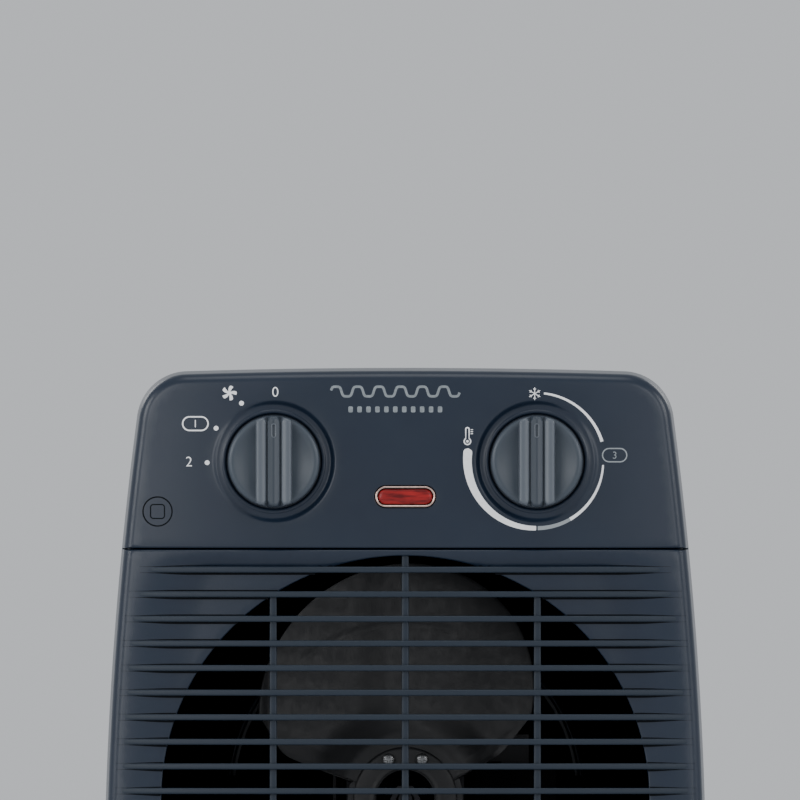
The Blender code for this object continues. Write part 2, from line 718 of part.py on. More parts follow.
def fan_duct():
    """A tunnel round the fan with a flange at each end."""
    flange, wall, thick = DUCT_R + 4.0, DUCT_R + 2.2, 2.0
    profile = [(DUCT_R, DUCT_FRONT), (DUCT_R, DUCT_BACK), (flange, DUCT_BACK), (flange, DUCT_BACK - thick),
               (wall, DUCT_BACK - thick), (wall, DUCT_FRONT + thick), (flange, DUCT_FRONT + thick),
               (flange, DUCT_FRONT)]
    turned("fan_duct", profile, (0, 0, AXIS_Z), "Y", inner_plastic, 48, ring=True)


# ---------------------------------------------------------------- ceramic heating banks


def fin_block(name, low_z):
    """A folded aluminium fin strip, as a zigzag ribbon extruded along the air's way."""
    step = 2 * BANK_HALF / FIN_FOLDS
    upper, lower = [], []
    for fold in range(FIN_FOLDS + 1):
        x = -BANK_HALF + step * fold
        rise = 0.0 if fold % 2 == 0 else FIN_HEIGHT - FIN_THICK
        lower.append((x, low_z + rise))
        upper.append((x, low_z + rise + FIN_THICK))
    return prism(name, lower + upper[::-1], BANK_Y[0], BANK_Y[1], aluminium)


def heating_bank(name, side):
    """Three fin blocks and the two ceramic strips that heat them, in a frame; side is 1 above the motor."""
    z = BANK_FROM
    layers = [("fins", FIN_HEIGHT), ("ceramic", STRIP_HEIGHT)] * 2 + [("fins", FIN_HEIGHT)]
    counts = {"fins": 0, "ceramic": 0}
    for kind, height in layers:
        counts[kind] += 1
        low = AXIS_Z + (z if side > 0 else -z - height)
        label = f"{name}_{kind}_{counts[kind]}"
        if kind == "fins":
            fin_block(label, low)
        else:
            box(label, (-BANK_HALF, BANK_Y[0] + 0.5, low), (BANK_HALF, BANK_Y[1] - 0.5, low + height), ceramic)
        z += height + GAP
    near, far = sorted((AXIS_Z + side * (BANK_FROM - 2.3), AXIS_Z + side * (z + 2.0)))
    frame = box(name + "_frame", (-BANK_HALF - 3.0, 1.0, near), (BANK_HALF + 3.0, 17.0, far), inner_plastic)
    low, high = sorted((AXIS_Z + side * (BANK_FROM - GAP), AXIS_Z + side * z))
    window = box(name + "_window", (-BANK_HALF - GAP, -5, low), (BANK_HALF + GAP, 25, high), None)
    combine(frame, [window])


# ---------------------------------------------------------------- controls


def knob(name, x):
    """A disc with a grip bar across it, bored at the back for its shaft."""
    centre = (x, 0, KNOB_Z)
    profile = [(14.6, WELL_Y - GAP), (KNOB_R, -60.4), (KNOB_R, -65.0), (14.4, -65.8)]
    disc = turned(name, profile, centre, "Y", knob_plastic, 36)
    half = GRIP_WIDTH / 2
    reach = math.asin(half / (KNOB_R - 0.3))
    outline = []
    for end in (0.0, math.pi):
        for step in range(7):
            turn = end + reach * (1 - step / 3)
            radius = KNOB_R - 0.3
            outline.append((x + radius * math.sin(turn), KNOB_Z + radius * math.cos(turn)))
    grip = prism(name + "_grip", outline, -65.2, KNOB_FRONT_Y, None)
    combine(disc, [grip], "UNION")
    slot = box(name + "_slot", (x - 0.6, -80, KNOB_Z + 8.0), (x + 0.6, KNOB_FRONT_Y + 0.8, KNOB_Z + 12.4), None)
    bore = rod(name + "_bore", SHAFT_R + GAP, -66.0, -50.0, centre, "Y", None, 24)
    return combine(disc, [slot, bore])


def control(kind, x, depth, axis_name):
    """A knob, its shaft and the switch or thermostat body that the shaft turns in."""
    centre = (x, 0, KNOB_Z)
    body = box(kind + "_body", (x - 16, -53.0, KNOB_Z - 13), (x + 16, -53.0 + depth, KNOB_Z + 13),
               switch_plastic)
    combine(body, [rod(kind + "_bush", 5.6, -58.4, -52.0, centre, "Y", None, 24)], "UNION")
    combine(body, [rod(kind + "_way", SHAFT_R + GAP, -70.0, -41.0, centre, "Y", None, 24)])
    shaft = rod(kind + "_shaft", SHAFT_R, -65.6, -41.4, centre, "Y", steel, 20)
    turning = knob("knob_" + kind, x)
    hang([shaft, turning], pivot(axis_name, centre))


def indicator():
    """The lamp: a red lens in a thin metal rim, with a neon behind it."""
    rim = prism("indicator_bezel", [(x, z + LAMP_Z) for x, z in pill(LAMP_LENGTH, LAMP_HEIGHT)],
                -62.6, -61.3, bezel_metal)
    inside = [(x, z + LAMP_Z) for x, z in pill(LAMP_LENGTH - 1.2, LAMP_HEIGHT - 1.2)]
    combine(rim, [prism("bezel_cutter", inside, -70, -55, None)])
    lens = [(x, z + LAMP_Z) for x, z in pill(LAMP_LENGTH - 1.8, LAMP_HEIGHT - 1.8)]
    prism("indicator_lens", lens, -62.4, -58.0, red_lens)
    rod("neon_lamp", 2.8, -56.5, -44.0, (0, 0, LAMP_Z), "Y", neon_glass, 16)


def electrics():
    box("terminal_block", (-60.0, 34.0, 14.0), (-28.0, 48.0, 26.0), switch_plastic)
    box("thermal_cutout", (6.0, 4.0, AXIS_Z + 60.7), (17.0, 14.0, AXIS_Z + 72.0), ceramic)
    x, y = PLUNGER
    low, high = PLUNGER_COLLAR
    box("tip_switch", (x - 11, y - 6, high + 0.4), (x + 11, y + 6, high + 16.4), switch_plastic)
    profile = [(PLUNGER_R - 0.6, 0.0), (PLUNGER_R, 0.8), (PLUNGER_R, low), (PLUNGER_R + 2.0, low),
               (PLUNGER_R + 2.0, high)]
    plunger = turned("tip_plunger", profile, (x, y, 0), "Z", knob_plastic, 20)
    hang([plunger], pivot("tip_axis", (x, y, 0)))
    gland = [(4.0, 60.0), (4.0, 70.0), (9.5, 70.0), (9.5, 68.3), (6.6, 68.3), (6.6, 60.0)]
    turned("cord_gland", gland, (GLAND[0], 0, GLAND[2]), "Y", rubber, 24, ring=True)


# ---------------------------------------------------------------- build


def main():
    for old in list(bpy.data.objects):
        bpy.data.objects.remove(old)
    front_cover()
    control_panel()
    rear_housing()
    rear_guard()
    base()
    rear_screws()
    fan_duct()
    motor()
    fan()
    heating_bank("upper_bank", 1)
    heating_bank("lower_bank", -1)
    control("selector", -KNOB_X, 20.0, "selector_axis")
    control("thermostat", KNOB_X, 16.0, "thermostat_axis")
    indicator()
    electrics()


main()
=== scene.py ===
"""The looks of the portable fan heater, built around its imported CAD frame.

Lengths are in millimetres, as in the frame's drawing; MM turns them into Blender's metres.
The front faces -Y and up is +Z, so an outline seen from the front is a list of (x, z).
"""

import json
import math

import bmesh
import bpy
import numpy as np
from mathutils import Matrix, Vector
from mathutils.geometry import delaunay_2d_cdt


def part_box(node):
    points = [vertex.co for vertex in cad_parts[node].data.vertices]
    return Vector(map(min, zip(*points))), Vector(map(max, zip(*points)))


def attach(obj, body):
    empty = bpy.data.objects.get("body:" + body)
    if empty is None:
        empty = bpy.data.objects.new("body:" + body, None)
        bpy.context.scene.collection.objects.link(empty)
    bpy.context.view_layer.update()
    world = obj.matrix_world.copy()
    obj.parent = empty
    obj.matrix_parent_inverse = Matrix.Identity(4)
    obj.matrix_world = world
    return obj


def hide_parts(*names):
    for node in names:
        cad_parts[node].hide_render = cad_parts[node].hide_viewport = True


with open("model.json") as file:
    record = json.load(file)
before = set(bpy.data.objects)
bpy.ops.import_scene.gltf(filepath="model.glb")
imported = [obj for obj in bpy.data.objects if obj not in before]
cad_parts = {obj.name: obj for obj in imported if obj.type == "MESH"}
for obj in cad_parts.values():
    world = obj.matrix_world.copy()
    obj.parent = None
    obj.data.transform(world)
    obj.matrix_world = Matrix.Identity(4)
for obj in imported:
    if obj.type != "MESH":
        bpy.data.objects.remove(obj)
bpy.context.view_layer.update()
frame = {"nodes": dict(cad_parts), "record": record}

MM = 0.001


def node_box(node):
    """A CAD node's lowest and highest corner in millimetres."""
    return [[value / MM for value in corner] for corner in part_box(node)]


def middle(box, one=0, other=2):
    """The middle of a box along two of its axes, X and Z unless told otherwise."""
    return tuple((box[0][axis] + box[1][axis]) / 2 for axis in (one, other))


# ---------------- sizes, from the frame where it has them

CASE = node_box("rear_housing")
PANEL = node_box("control_panel")
COVER = node_box("front_cover")
KNOBS = {"selector": node_box("knob_selector"), "thermostat": node_box("knob_thermostat")}
BEZEL = node_box("indicator_bezel")
LENS = node_box("indicator_lens")
DUCT = node_box("fan_duct")
GUARD = node_box("rear_guard")
GLAND = node_box("cord_gland")
BASE = node_box("base_plate")
CLAMP = node_box("fan_clamp_ring")
PLUNGER = node_box("tip_plunger")
BLADE = node_box("fan_blade")

BODY_BOTTOM = CASE[0][2]
BODY_TOP = CASE[1][2]
WIDEST = 99.8
WIDEST_AT = 59.0
SIDE_TAPER = 0.0004
TOP_CROWN = 1.1
CORNER_LOW = 16.0
CORNER_TOP = 17.0
TOP_LEAN = math.radians(7.5)

FRONT_Y = -62.0
BOW_DEPTH = 6.5
BOW_AT = 95.0
BOW_POWER = 2.4
REAR_Y = 68.0
REAR_BOW = 5.0
SLOPE_START = 168.0
SLOPE_DROP = 27.0
EDGE_FRONT = 3.5
EDGE_REAR = 11.5
EDGE_SEAM = 0.7
FRONT_DRAFT = 1.0
REAR_DRAFT = 3.0
SEAM_LOW = COVER[1][2]
SEAM_HIGH = PANEL[0][2]
PART_REAR = CASE[0][1]
PART_FRONT = PART_REAR - 0.3
SKIN = 1.8

AXIS_Z = middle(DUCT)[1]
OPENING_R = 80.5
RECESS = 2.0
RIB_TOP_Z = 173.9
RIB_PITCH = 8.12
RIB_COUNT = 20
RIB_HEIGHT = 2.05
RIB_DEPTH = 4.0
# Widths of the painted shadow lines above and below each rib.
SHADOW_LINE_UPPER = 0.4
SHADOW_LINE_LOWER = 0.7
BAR_X = 43.6
BAR_WIDTH = 2.4

KNOB_X, KNOB_Z = middle(KNOBS["thermostat"])
KNOB_R = (KNOBS["selector"][1][2] - KNOBS["selector"][0][2]) / 2
KNOB_FRONT = KNOBS["selector"][0][1]
DISH_R = 19.3
DISH_INNER_R = 15.9
RIDGE_R = 17.0
SHAFT_HOLE_R = 5.9
DISH_STEP_Y = -60.1
DISH_Y = -59.2
LAMP_X, LAMP_Z = middle(BEZEL)
PRINT_LIFT = 0.05
FONT_RISE = 1.42
PLUNGER_XY = middle(PLUNGER, 0, 1)
PLUNGER_WAY_R = 4.6
INLET_R = 58.0
GUARD_R = 53.6
SCREW_BORE_R = 4.6
SCREW_SEAT_Y = 13.2
SCREW_SEAT_WIDTH = 2.4
GLAND_NECK_R = 7.0
GLAND_BORE_R = 4.0
DUCT_R = 81.5


# ---------------- mesh tools

SLIVER = 0.002  # square millimetres; triangles under this are left out
MERGE = 2e-7  # metres between points that count as one


class Skin:
    """Points and faces of one piece, gathered ring by ring."""

    def __init__(self):
        self.points = []
        self.faces = []

    def add(self, points):
        first = len(self.points)
        self.points += [tuple(point) for point in points]
        return list(range(first, len(self.points)))

    def band(self, one, other, closed=True):
        """Quads between two rings of as many points."""
        count = len(one)
        for i in range(count if closed else count - 1):
            after = (i + 1) % count
            self.faces.append((one[i], one[after], other[after], other[i]))

    def rings(self, rings, closed=True):
        """Adds each ring of points, joins it to the one before, and returns the indices of the last."""
        last = None
        for ring in rings:
            now = self.add(ring)
            if last:
                self.band(last, now, closed)
            last = now
        return last

    def cap(self, ring):
        self.faces.append(tuple(ring))

    def solid(self, rings):
        """A closed body through the rings, with a cap at both ends."""
        start = len(self.points)
        last = self.rings(rings)
        self.cap(range(start, start + len(rings[0])))
        self.cap(last)
        return self

    def hoop(self, rings, closed=True):
        """A body through the rings whose last one joins the first."""
        start = len(self.points)
        last = self.rings(rings, closed)
        self.band(last, range(start, start + len(rings[0])), closed)
        return self


def inside(loop, points):
    """Which of the (x, z) points lie inside a loop of (x, z) corners."""
    found = np.zeros(len(points), bool)
    px, pz = points[:, 0], points[:, 1]
    for (x1, z1), (x2, z2) in zip(loop, loop[1:] + loop[:1]):
        crosses = (z1 > pz) != (z2 > pz)
        if z1 != z2:
            found ^= crosses & (px < (x2 - x1) * (pz - z1) / (z2 - z1) + x1)
    return found


def fill(skin, known, loops, grid=(), lift=None):
    """Triangles between the first flat loop and those inside it, through the points of a grid.

    known holds the number in the skin of each point of the loops, and lift places the grid's points.
    """
    corners, first = [], 0
    for loop in loops:
        count = len(loop)
        corners += [(first + i, first + (i + 1) % count) for i in range(count)]
        first += count
    places = [Vector(point) for loop in loops for point in loop] + [Vector(point) for point in grid]
    out, _, triangles, origins, _, _ = delaunay_2d_cdt(places, corners, [], 0, 1e-6)
    index = []
    for point, origin in zip(out, origins):
        if origin and origin[0] < len(known):
            index.append(known[origin[0]])
        else:
            index += skin.add([lift(point.x, point.y)])
    middles = np.array([[(out[a].x + out[b].x + out[c].x) / 3, (out[a].y + out[b].y + out[c].y) / 3]
                        for a, b, c in triangles])
    areas = [abs((out[b] - out[a]).cross(out[c] - out[a])) / 2 for a, b, c in triangles]
    keep = inside(loops[0], middles) & (np.array(areas) > SLIVER)
    for loop in loops[1:]:
        keep &= ~inside(loop, middles)
    for triangle, kept in zip(triangles, keep):
        if kept:
            skin.faces.append(tuple(index[i] for i in triangle))


def patch(skin, outer, holes, height, spacing):
    """Fills the front or rear face inside the outer ring and round the holes, lifted to y = height(x, z)."""
    rings = [outer] + holes
    loops = [[(skin.points[i][0], skin.points[i][2]) for i in ring] for ring in rings]
    edge = np.array([point for loop in loops for point in loop])
    low, high = edge.min(axis=0), edge.max(axis=0)
    rows = np.arange(low[1] + spacing / 2, high[1], spacing * 0.87)
    grid = []
    for number, z in enumerate(rows):
        start = low[0] + (spacing / 2 if number % 2 else 0.0)
        grid += [(x, z) for x in np.arange(start, high[0], spacing)]
    grid = np.array(grid)
    keep = inside(loops[0], grid)
    for loop in loops[1:]:
        keep &= ~inside(loop, grid)
    grid = grid[keep]
    clear = np.ones(len(grid), bool)
    for part in np.array_split(np.arange(len(grid)), 20):
        gaps = np.linalg.norm(grid[part][:, None, :] - edge[None, :, :], axis=2)
        clear[part] = gaps.min(axis=1) > spacing * 0.75
    known = [index for ring in rings for index in ring]
    fill(skin, known, loops, grid[clear], lambda x, z: (x, height(x, z), z))


def new_mesh(name, skin):
    """A mesh of a skin, from millimetres into metres."""
    mesh = bpy.data.meshes.new(name)
    mesh.from_pydata([tuple(MM * value for value in point) for point in skin.points], [], skin.faces)
    return mesh


def new_solid(name, skin):
    """A mesh with coinciding points merged and its faces turned outwards."""
    mesh = new_mesh(name, skin)
    work = bmesh.new()
    work.from_mesh(mesh)
    bmesh.ops.remove_doubles(work, verts=work.verts, dist=MERGE)
    bmesh.ops.recalc_face_normals(work, faces=work.faces)
    work.to_mesh(mesh)
    work.free()
    return mesh


def new_object(name, data):
    """An object in the scene."""
    made = bpy.data.objects.new(name, data)
    bpy.context.scene.collection.objects.link(made)
    return made


def evaluated_mesh(made):
    """An object's mesh as its modifiers or its text leave it."""
    bpy.context.view_layer.update()
    return bpy.data.meshes.new_from_object(made.evaluated_get(bpy.context.evaluated_depsgraph_get()))


def drill_plunger_way(made):
    """Cuts the hole that the tip-over plunger slides in, straight up through a piece, into its mesh."""
    drill = Skin().solid([flat_circle(PLUNGER_WAY_R, z, PLUNGER_XY, 48) for z in (-5.0, 15.0)])
    mesh = new_solid("plunger_drill", drill)
    cutter = new_object("plunger_drill", mesh)
    cut = made.modifiers.new("plunger_way", "BOOLEAN")
    cut.operation, cut.solver, cut.object = "DIFFERENCE", "EXACT", cutter
    whole = evaluated_mesh(made)
    made.modifiers.clear()
    made.data = whole
    bpy.data.objects.remove(cutter)
    bpy.data.meshes.remove(mesh)


def piece(name, skin, surface, nodes=(), body="housing", sharp=32, thick=0.0,
          inner=None, drilled=False):
    """Makes a visible piece of a skin: it rides on a body and may stand for CAD nodes.

    A skin with a thickness gets a wall, whose inside may have a material of its own.
    """
    mesh = new_solid(name, skin)
    mesh.shade_smooth()
    mesh.set_sharp_from_angle(angle=math.radians(sharp))
    mesh.materials.append(surface)
    made = new_object(name, mesh)
    if thick:
        wall = made.modifiers.new("wall", "SOLIDIFY")
        wall.thickness = MM * thick
        wall.offset = -1.0
    if inner:
        mesh.materials.append(inner)
        wall.material_offset = 1
    if drilled:
        drill_plunger_way(made)
    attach(made, body)
    if nodes:
        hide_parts(*nodes)
    return made


def add_bevel(made, width, segments=3, angle=35):
    """Rounds an object's hard edges."""
    step = made.modifiers.new("bevel", "BEVEL")
    step.width = MM * width
    step.segments = segments
    step.limit_method = "ANGLE"
    step.angle_limit = math.radians(angle)
    step.harden_normals = False


def circle(radius, y, centre=(0.0, 0.0), steps=96):
    """A ring of points about a line along Y through centre = (x, z)."""
    turns = [math.tau * step / steps for step in range(steps)]
    return [(centre[0] + radius * math.cos(t), y, centre[1] + radius * math.sin(t)) for t in turns]


def flat_circle(radius, z, centre=(0.0, 0.0), steps=96):
    """A ring of points about a line along Z through centre = (x, y)."""
    return [(x, y, z) for x, _, y in circle(radius, 0.0, centre, steps)]


def turned(profile, centre=(0.0, 0.0), steps=96, closed=False):
    """A skin of (radius, y) points turned about a line along Y; a closed profile makes a ring."""
    rings = [circle(radius, y, centre, steps) for radius, y in profile]
    return Skin().hoop(rings) if closed else Skin().solid(rings)


def arc(centre, radius, start, end, steps):
    """(a, b) points on an arc, from one angle in degrees to another."""
    points = []
    for step in range(steps + 1):
        turn = math.radians(start + (end - start) * step / steps)
        points.append((centre[0] + radius * math.cos(turn), centre[1] + radius * math.sin(turn)))
    return points


def smooth(value):
    """0 up to value 0, 1 from value 1, with a soft start and end."""
    value = min(max(value, 0.0), 1.0)
    return value * value * (3.0 - 2.0 * value)


def pill(length, height, steps=14):
    """Outline of a bar with round ends, centred on (0, 0)."""
    half = (length - height) / 2
    return arc((half, 0.0), height / 2, -90, 90, steps) + arc((-half, 0.0), height / 2, 90, 270, steps)


def divided_pill(length, height):
    """The same outline with its straight sides divided."""
    steps, sides = 14, 8
    points = pill(length, height, steps)
    right, left = points[: steps + 1], points[steps + 1:]

    def between(start, end):
        return [tuple(a + (b - a) * i / sides for a, b in zip(start, end)) for i in range(1, sides)]

    return right + between(right[-1], left[0]) + left + between(left[-1], right[0])


def rounded(width, height, radius, steps=6):
    """Outline of a rectangle with round corners, centred on (0, 0)."""
    half_x, half_z = width / 2 - radius, height / 2 - radius
    corners = ((half_x, -half_z, -90), (half_x, half_z, 0), (-half_x, half_z, 90), (-half_x, -half_z, 180))
    return [point for x, z, start in corners for point in arc((x, z), radius, start, start + 90, steps)]


# ---------------- materials

CLOUDINESS = 0.05
RUBBING = 0.025


def node(tree, kind, **inputs):
    made = tree.nodes.new(kind)
    for name, value in inputs.items():
        made.inputs[name.replace("_", " ")].default_value = value
    return made


def new_material(name, colour, roughness, metallic=0.0, gloss=0.5):
    made = bpy.data.materials.new(name)
    made.use_nodes = True
    shader = made.node_tree.nodes["Principled BSDF"]
    shader.inputs["Base Color"].default_value = (*colour, 1.0)
    shader.inputs["Roughness"].default_value = roughness
    shader.inputs["Metallic"].default_value = metallic
    shader.inputs["Specular IOR Level"].default_value = gloss
    return made, made.node_tree, shader


def place_on_object(tree, stretch=(1.0, 1.0, 1.0)):
    """Object coordinates in millimetres, stretched along each axis."""
    source = tree.nodes.new("ShaderNodeTexCoord")
    scale = tree.nodes.new("ShaderNodeMapping")
    scale.inputs["Scale"].default_value = [value / MM for value in stretch]
    tree.links.new(source.outputs["Object"], scale.inputs["Vector"])
    return scale.outputs["Vector"]


def noise(tree, place, scale, detail=3.0, roughness=0.5):
    made = node(tree, "ShaderNodeTexNoise", Scale=scale, Detail=detail, Roughness=roughness)
    tree.links.new(place, made.inputs["Vector"])
    return made.outputs["Fac"]


def spread(tree, value, low, high):
    """Maps a noise of 0.3 to 0.7 onto low to high."""
    made = node(tree, "ShaderNodeMapRange")
    made.inputs["From Min"].default_value = 0.3
    made.inputs["From Max"].default_value = 0.7
    made.inputs["To Min"].default_value = low
    made.inputs["To Max"].default_value = high
    tree.links.new(value, made.inputs["Value"])
    return made.outputs["Result"]


def tint(tree, value, dark, light):
    """A colour between two, chosen by a noise."""
    ramp = tree.nodes.new("ShaderNodeValToRGB")
    ramp.color_ramp.elements[0].position = 0.3
    ramp.color_ramp.elements[0].color = (*dark, 1.0)
    ramp.color_ramp.elements[1].position = 0.7
    ramp.color_ramp.elements[1].color = (*light, 1.0)
    tree.links.new(value, ramp.inputs["Fac"])
    return ramp.outputs["Color"]


def add_bump(tree, shader, height, strength, distance):
    made = node(tree, "ShaderNodeBump", Strength=strength, Distance=MM * distance)
    tree.links.new(height, made.inputs["Height"])
    tree.links.new(made.outputs["Normal"], shader.inputs["Normal"])
    return made


def moulded(name, colour, roughness, grain=2.2, strength=0.25, gloss=0.5):
    """A moulded plastic: spark-eroded grain, faint cloudiness in colour and gloss."""
    made, tree, shader = new_material(name, colour, roughness, 0.0, gloss)
    place = place_on_object(tree)
    cloud = noise(tree, place, 0.035, 4.0, 0.6)
    dark, light = [[channel * (1 + CLOUDINESS * sign) for channel in colour] for sign in (-1, 1)]
    tree.links.new(tint(tree, cloud, dark, light), shader.inputs["Base Color"])
    rub = spread(tree, noise(tree, place, 0.12, 5.0, 0.65), roughness - RUBBING, roughness + RUBBING)
    tree.links.new(rub, shader.inputs["Roughness"])
    add_bump(tree, shader, noise(tree, place, grain, 2.0, 0.6), strength, 0.04)
    return made


def metal(name, colour, roughness, stretch=(1.0, 1.0, 1.0), scale=0.9, strength=0.15, metallic=1.0):
    """A metal with brushing or rolling marks along the direction that stretch squeezes."""
    made, tree, shader = new_material(name, colour, roughness, metallic)
    place = place_on_object(tree, stretch)
    marks = noise(tree, place, scale, 4.0, 0.6)
    dark = [channel * 0.85 for channel in colour]
    light = [min(1.0, channel * 1.12) for channel in colour]
    tree.links.new(tint(tree, marks, dark, light), shader.inputs["Base Color"])
    tree.links.new(spread(tree, marks, roughness - 0.07, roughness + 0.09), shader.inputs["Roughness"])
    add_bump(tree, shader, marks, strength, 0.02)
    return made


def lens_material():
    """Clear red moulding with level ridges inside that catch the light."""
    made, tree, shader = new_material("red_lens", (0.2, 0.008, 0.008), 0.3, gloss=0.25)
    place = place_on_object(tree, (0.16, 1.0, 1.0))
    ridges = noise(tree, place, 1.1, 2.0, 0.5)
    tree.links.new(tint(tree, ridges, (0.1, 0.003, 0.004), (0.34, 0.014, 0.014)), shader.inputs["Base Color"])
    shader.inputs["Coat Weight"].default_value = 0.15
    shader.inputs["Coat Roughness"].default_value = 0.12
    add_bump(tree, shader, ridges, 0.5, 0.2)
    return made


def print_material(name, colour):
    """Pad-printed ink, with the case's grain showing through."""
    made, tree, shader = new_material(name, colour, 0.55)
    place = place_on_object(tree)
    wear = noise(tree, place, 0.6, 4.0, 0.6)
    tree.links.new(tint(tree, wear, [c * 0.93 for c in colour], colour), shader.inputs["Base Color"])
    add_bump(tree, shader, noise(tree, place, 2.2, 2.0, 0.6), 0.2, 0.03)
    return made


CASE_PLASTIC = moulded("case_plastic", (0.0078, 0.0158, 0.0315), 0.31, gloss=0.44)
# Near-black copy of the case plastic, used as painted shade: the lines beside the ribs and the moulded ring's
# lines.
PAINTED_SHADE_LINE = moulded("case_plastic_painted_shade_line", (0.0015, 0.0025, 0.0045), 0.6, gloss=0.1)
RIB_PLASTIC = moulded("rib_plastic", (0.0095, 0.018, 0.031), 0.38, gloss=0.38)
KNOB_PLASTIC = moulded("knob_plastic", (0.05, 0.064, 0.082), 0.36, strength=0.08, gloss=0.4)
# Lighter and darker copies of the knob plastic: painted highlight on the grip's side bands and the pointer
# line, painted shade on the tongue between the grooves.
KNOB_PLASTIC_PAINTED_HIGHLIGHT = moulded("knob_plastic_painted_highlight", (0.085, 0.1, 0.12), 0.32, strength=0.05)
KNOB_PLASTIC_PAINTED_SHADE = moulded("knob_plastic_painted_shade", (0.034, 0.045, 0.06), 0.36, strength=0.05, gloss=0.4)
BLACK_PLASTIC = moulded("black_plastic", (0.002, 0.002, 0.0022), 0.75, strength=0.2, gloss=0.12)
FAN_COAT = metal("fan_coating", (0.0095, 0.0098, 0.0112), 0.46, scale=0.35, strength=0.08, metallic=0.2)
# Black plastic of the inner parts, taken down to near black as painted shade for the inside of the case; it
# also lines the inside of the rear moulding's wall, which is painted shade alone.
INNER_BLACK_AND_SHADE = moulded("inner_black_and_painted_shade", (0.0009, 0.0009, 0.001), 0.9, strength=0.2, gloss=0.0)
STEEL = metal("zinc_steel", (0.27, 0.275, 0.28), 0.36)
DARK_STEEL = metal("electrical_steel", (0.016, 0.016, 0.018), 0.6, (0.2, 3.0, 0.2), 1.0, 0.3, 0.4)
ALUMINIUM = metal("fin_aluminium", (0.5, 0.51, 0.53), 0.38, (0.4, 2.0, 0.4))
CERAMIC = moulded("unglazed_ceramic", (0.62, 0.57, 0.49), 0.62, strength=0.35)
RUBBER = moulded("rubber", (0.016, 0.016, 0.018), 0.78, strength=0.3)
SWITCH_PLASTIC = moulded("switch_plastic", (0.5, 0.49, 0.44), 0.4, strength=0.1)
BEZEL_METAL = metal("bezel_plating", (0.62, 0.44, 0.38), 0.2)
RED_LENS = lens_material()
WHITE_PRINT = print_material("white_print", (0.95, 0.96, 0.97))
GREY_PRINT = print_material("grey_print", (0.3, 0.33, 0.35))
SILVER_PRINT = metal("silver_print", (0.25, 0.28, 0.3), 0.38, metallic=0.5)
BLACK_STEEL = metal("black_oxide_steel", (0.03, 0.03, 0.033), 0.4)
WINDING_TAPE = moulded("winding_tape", (0.0015, 0.0015, 0.0017), 0.8, strength=0.4, gloss=0.05)
FILTER_FOAM = moulded("filter_foam", (0.0035, 0.0035, 0.004), 0.9, grain=0.9, strength=0.8, gloss=0.1)


# ---------------- the case's surface


def half_width(z):
    """How far the bulging side stands from the middle at a height."""
    return WIDEST - SIDE_TAPER * (z - WIDEST_AT) ** 2


def front_y(x, _=0.0):
    """The bowed front, which is the same at every height."""
    return FRONT_Y + BOW_DEPTH * (abs(x) / BOW_AT) ** BOW_POWER


def rear_y(x, z):
    """The rear face: bowed sideways, and sloping forwards above the inlet."""
    above = max(0.0, z - SLOPE_START) / (BODY_TOP - SLOPE_START)
    return REAR_Y - REAR_BOW * (abs(x) / BOW_AT) ** 2 - SLOPE_DROP * above**1.5


def right_edge(inset, floor, ceiling):
    """The right side of the outline, moved in by inset, from its foot to its head."""
    corner_steps, side_steps = 16, 56
    points = []
    low_z = BODY_BOTTOM + CORNER_LOW
    if floor is None:
        points += arc((half_width(low_z) - CORNER_LOW, low_z), CORNER_LOW - inset, -90, 0, corner_steps)
    else:
        low_z = floor
        points.append((half_width(floor) - inset, floor))
    top_z = BODY_TOP - TOP_CROWN - CORNER_TOP
    tangent_z = top_z + CORNER_TOP * math.sin(TOP_LEAN)
    high_z = tangent_z if ceiling is None else ceiling
    for step in range(1, side_steps):
        z = low_z + (high_z - low_z) * step / side_steps
        points.append((half_width(z) - inset, z))
    if ceiling is None:
        centre = (half_width(tangent_z) - CORNER_TOP * math.cos(TOP_LEAN), top_z)
        points += arc(centre, CORNER_TOP - inset, math.degrees(TOP_LEAN), 90, corner_steps)
    else:
        points.append((half_width(ceiling) - inset, ceiling))
    return points


def case_outline(inset, floor=None, ceiling=None):
    """The outline moved in by inset, cut level at floor or ceiling, from its bottom left corner on."""
    across = 72
    right = right_edge(inset, floor, ceiling)
    (low_x, low_z), (high_x, high_z) = right[0], right[-1]
    crown = 0.0 if ceiling is not None else TOP_CROWN
    loop = [(low_x * (2 * step / across - 1), low_z) for step in range(across)] + right
    for step in range(1, across):
        x = high_x * (1 - 2 * step / across)
        loop.append((x, high_z + crown * (1 - (x / high_x) ** 2)))
    return loop + [(-x, z) for x, z in reversed(right)][:-1]


def side_drop(x, z, radius):
    """How far the rounding of the side edge takes the front face back, close to the side."""
    into = radius - (half_width(z) - FRONT_DRAFT - abs(x))
    into = min(max(into, 0.0), radius)
    return radius - math.sqrt(radius**2 - into**2)


def front_rings(floor, ceiling):
    """Rings of a front moulding, from the edge of its face round and back to the parting line."""
    steps = 7
    rings = []
    for step in range(steps + 1):
        turn = math.pi / 2 * step / steps
        inset = FRONT_DRAFT + EDGE_FRONT * (1 - math.sin(turn))
        seam = EDGE_SEAM * (1 - math.sin(turn))
        seam_back = EDGE_SEAM * (1 - math.cos(turn))
        low = None if floor is None else floor + seam
        high = None if ceiling is None else ceiling - seam
        ring = []
        for x, z in case_outline(inset, low, high):
            if any(end is not None and abs(z - end) < 1e-6 for end in (low, high)):
                back = max(side_drop(x, z, EDGE_FRONT), seam_back)
            else:
                back = EDGE_FRONT * (1 - math.cos(turn))
            ring.append((x, front_y(x) + back, z))
        rings.append(ring)
    face_back = rings[-1]
    for share in (0.1, 0.25, 0.5, 0.75, 0.97, 1.0):
        outline = case_outline(FRONT_DRAFT * (1 - share) + (0.3 if share == 1.0 else 0.0), floor, ceiling)
        rings.append([(x, start + (PART_FRONT - start) * share, z)
                      for (x, z), (_, start, _) in zip(outline, face_back)])
    return rings


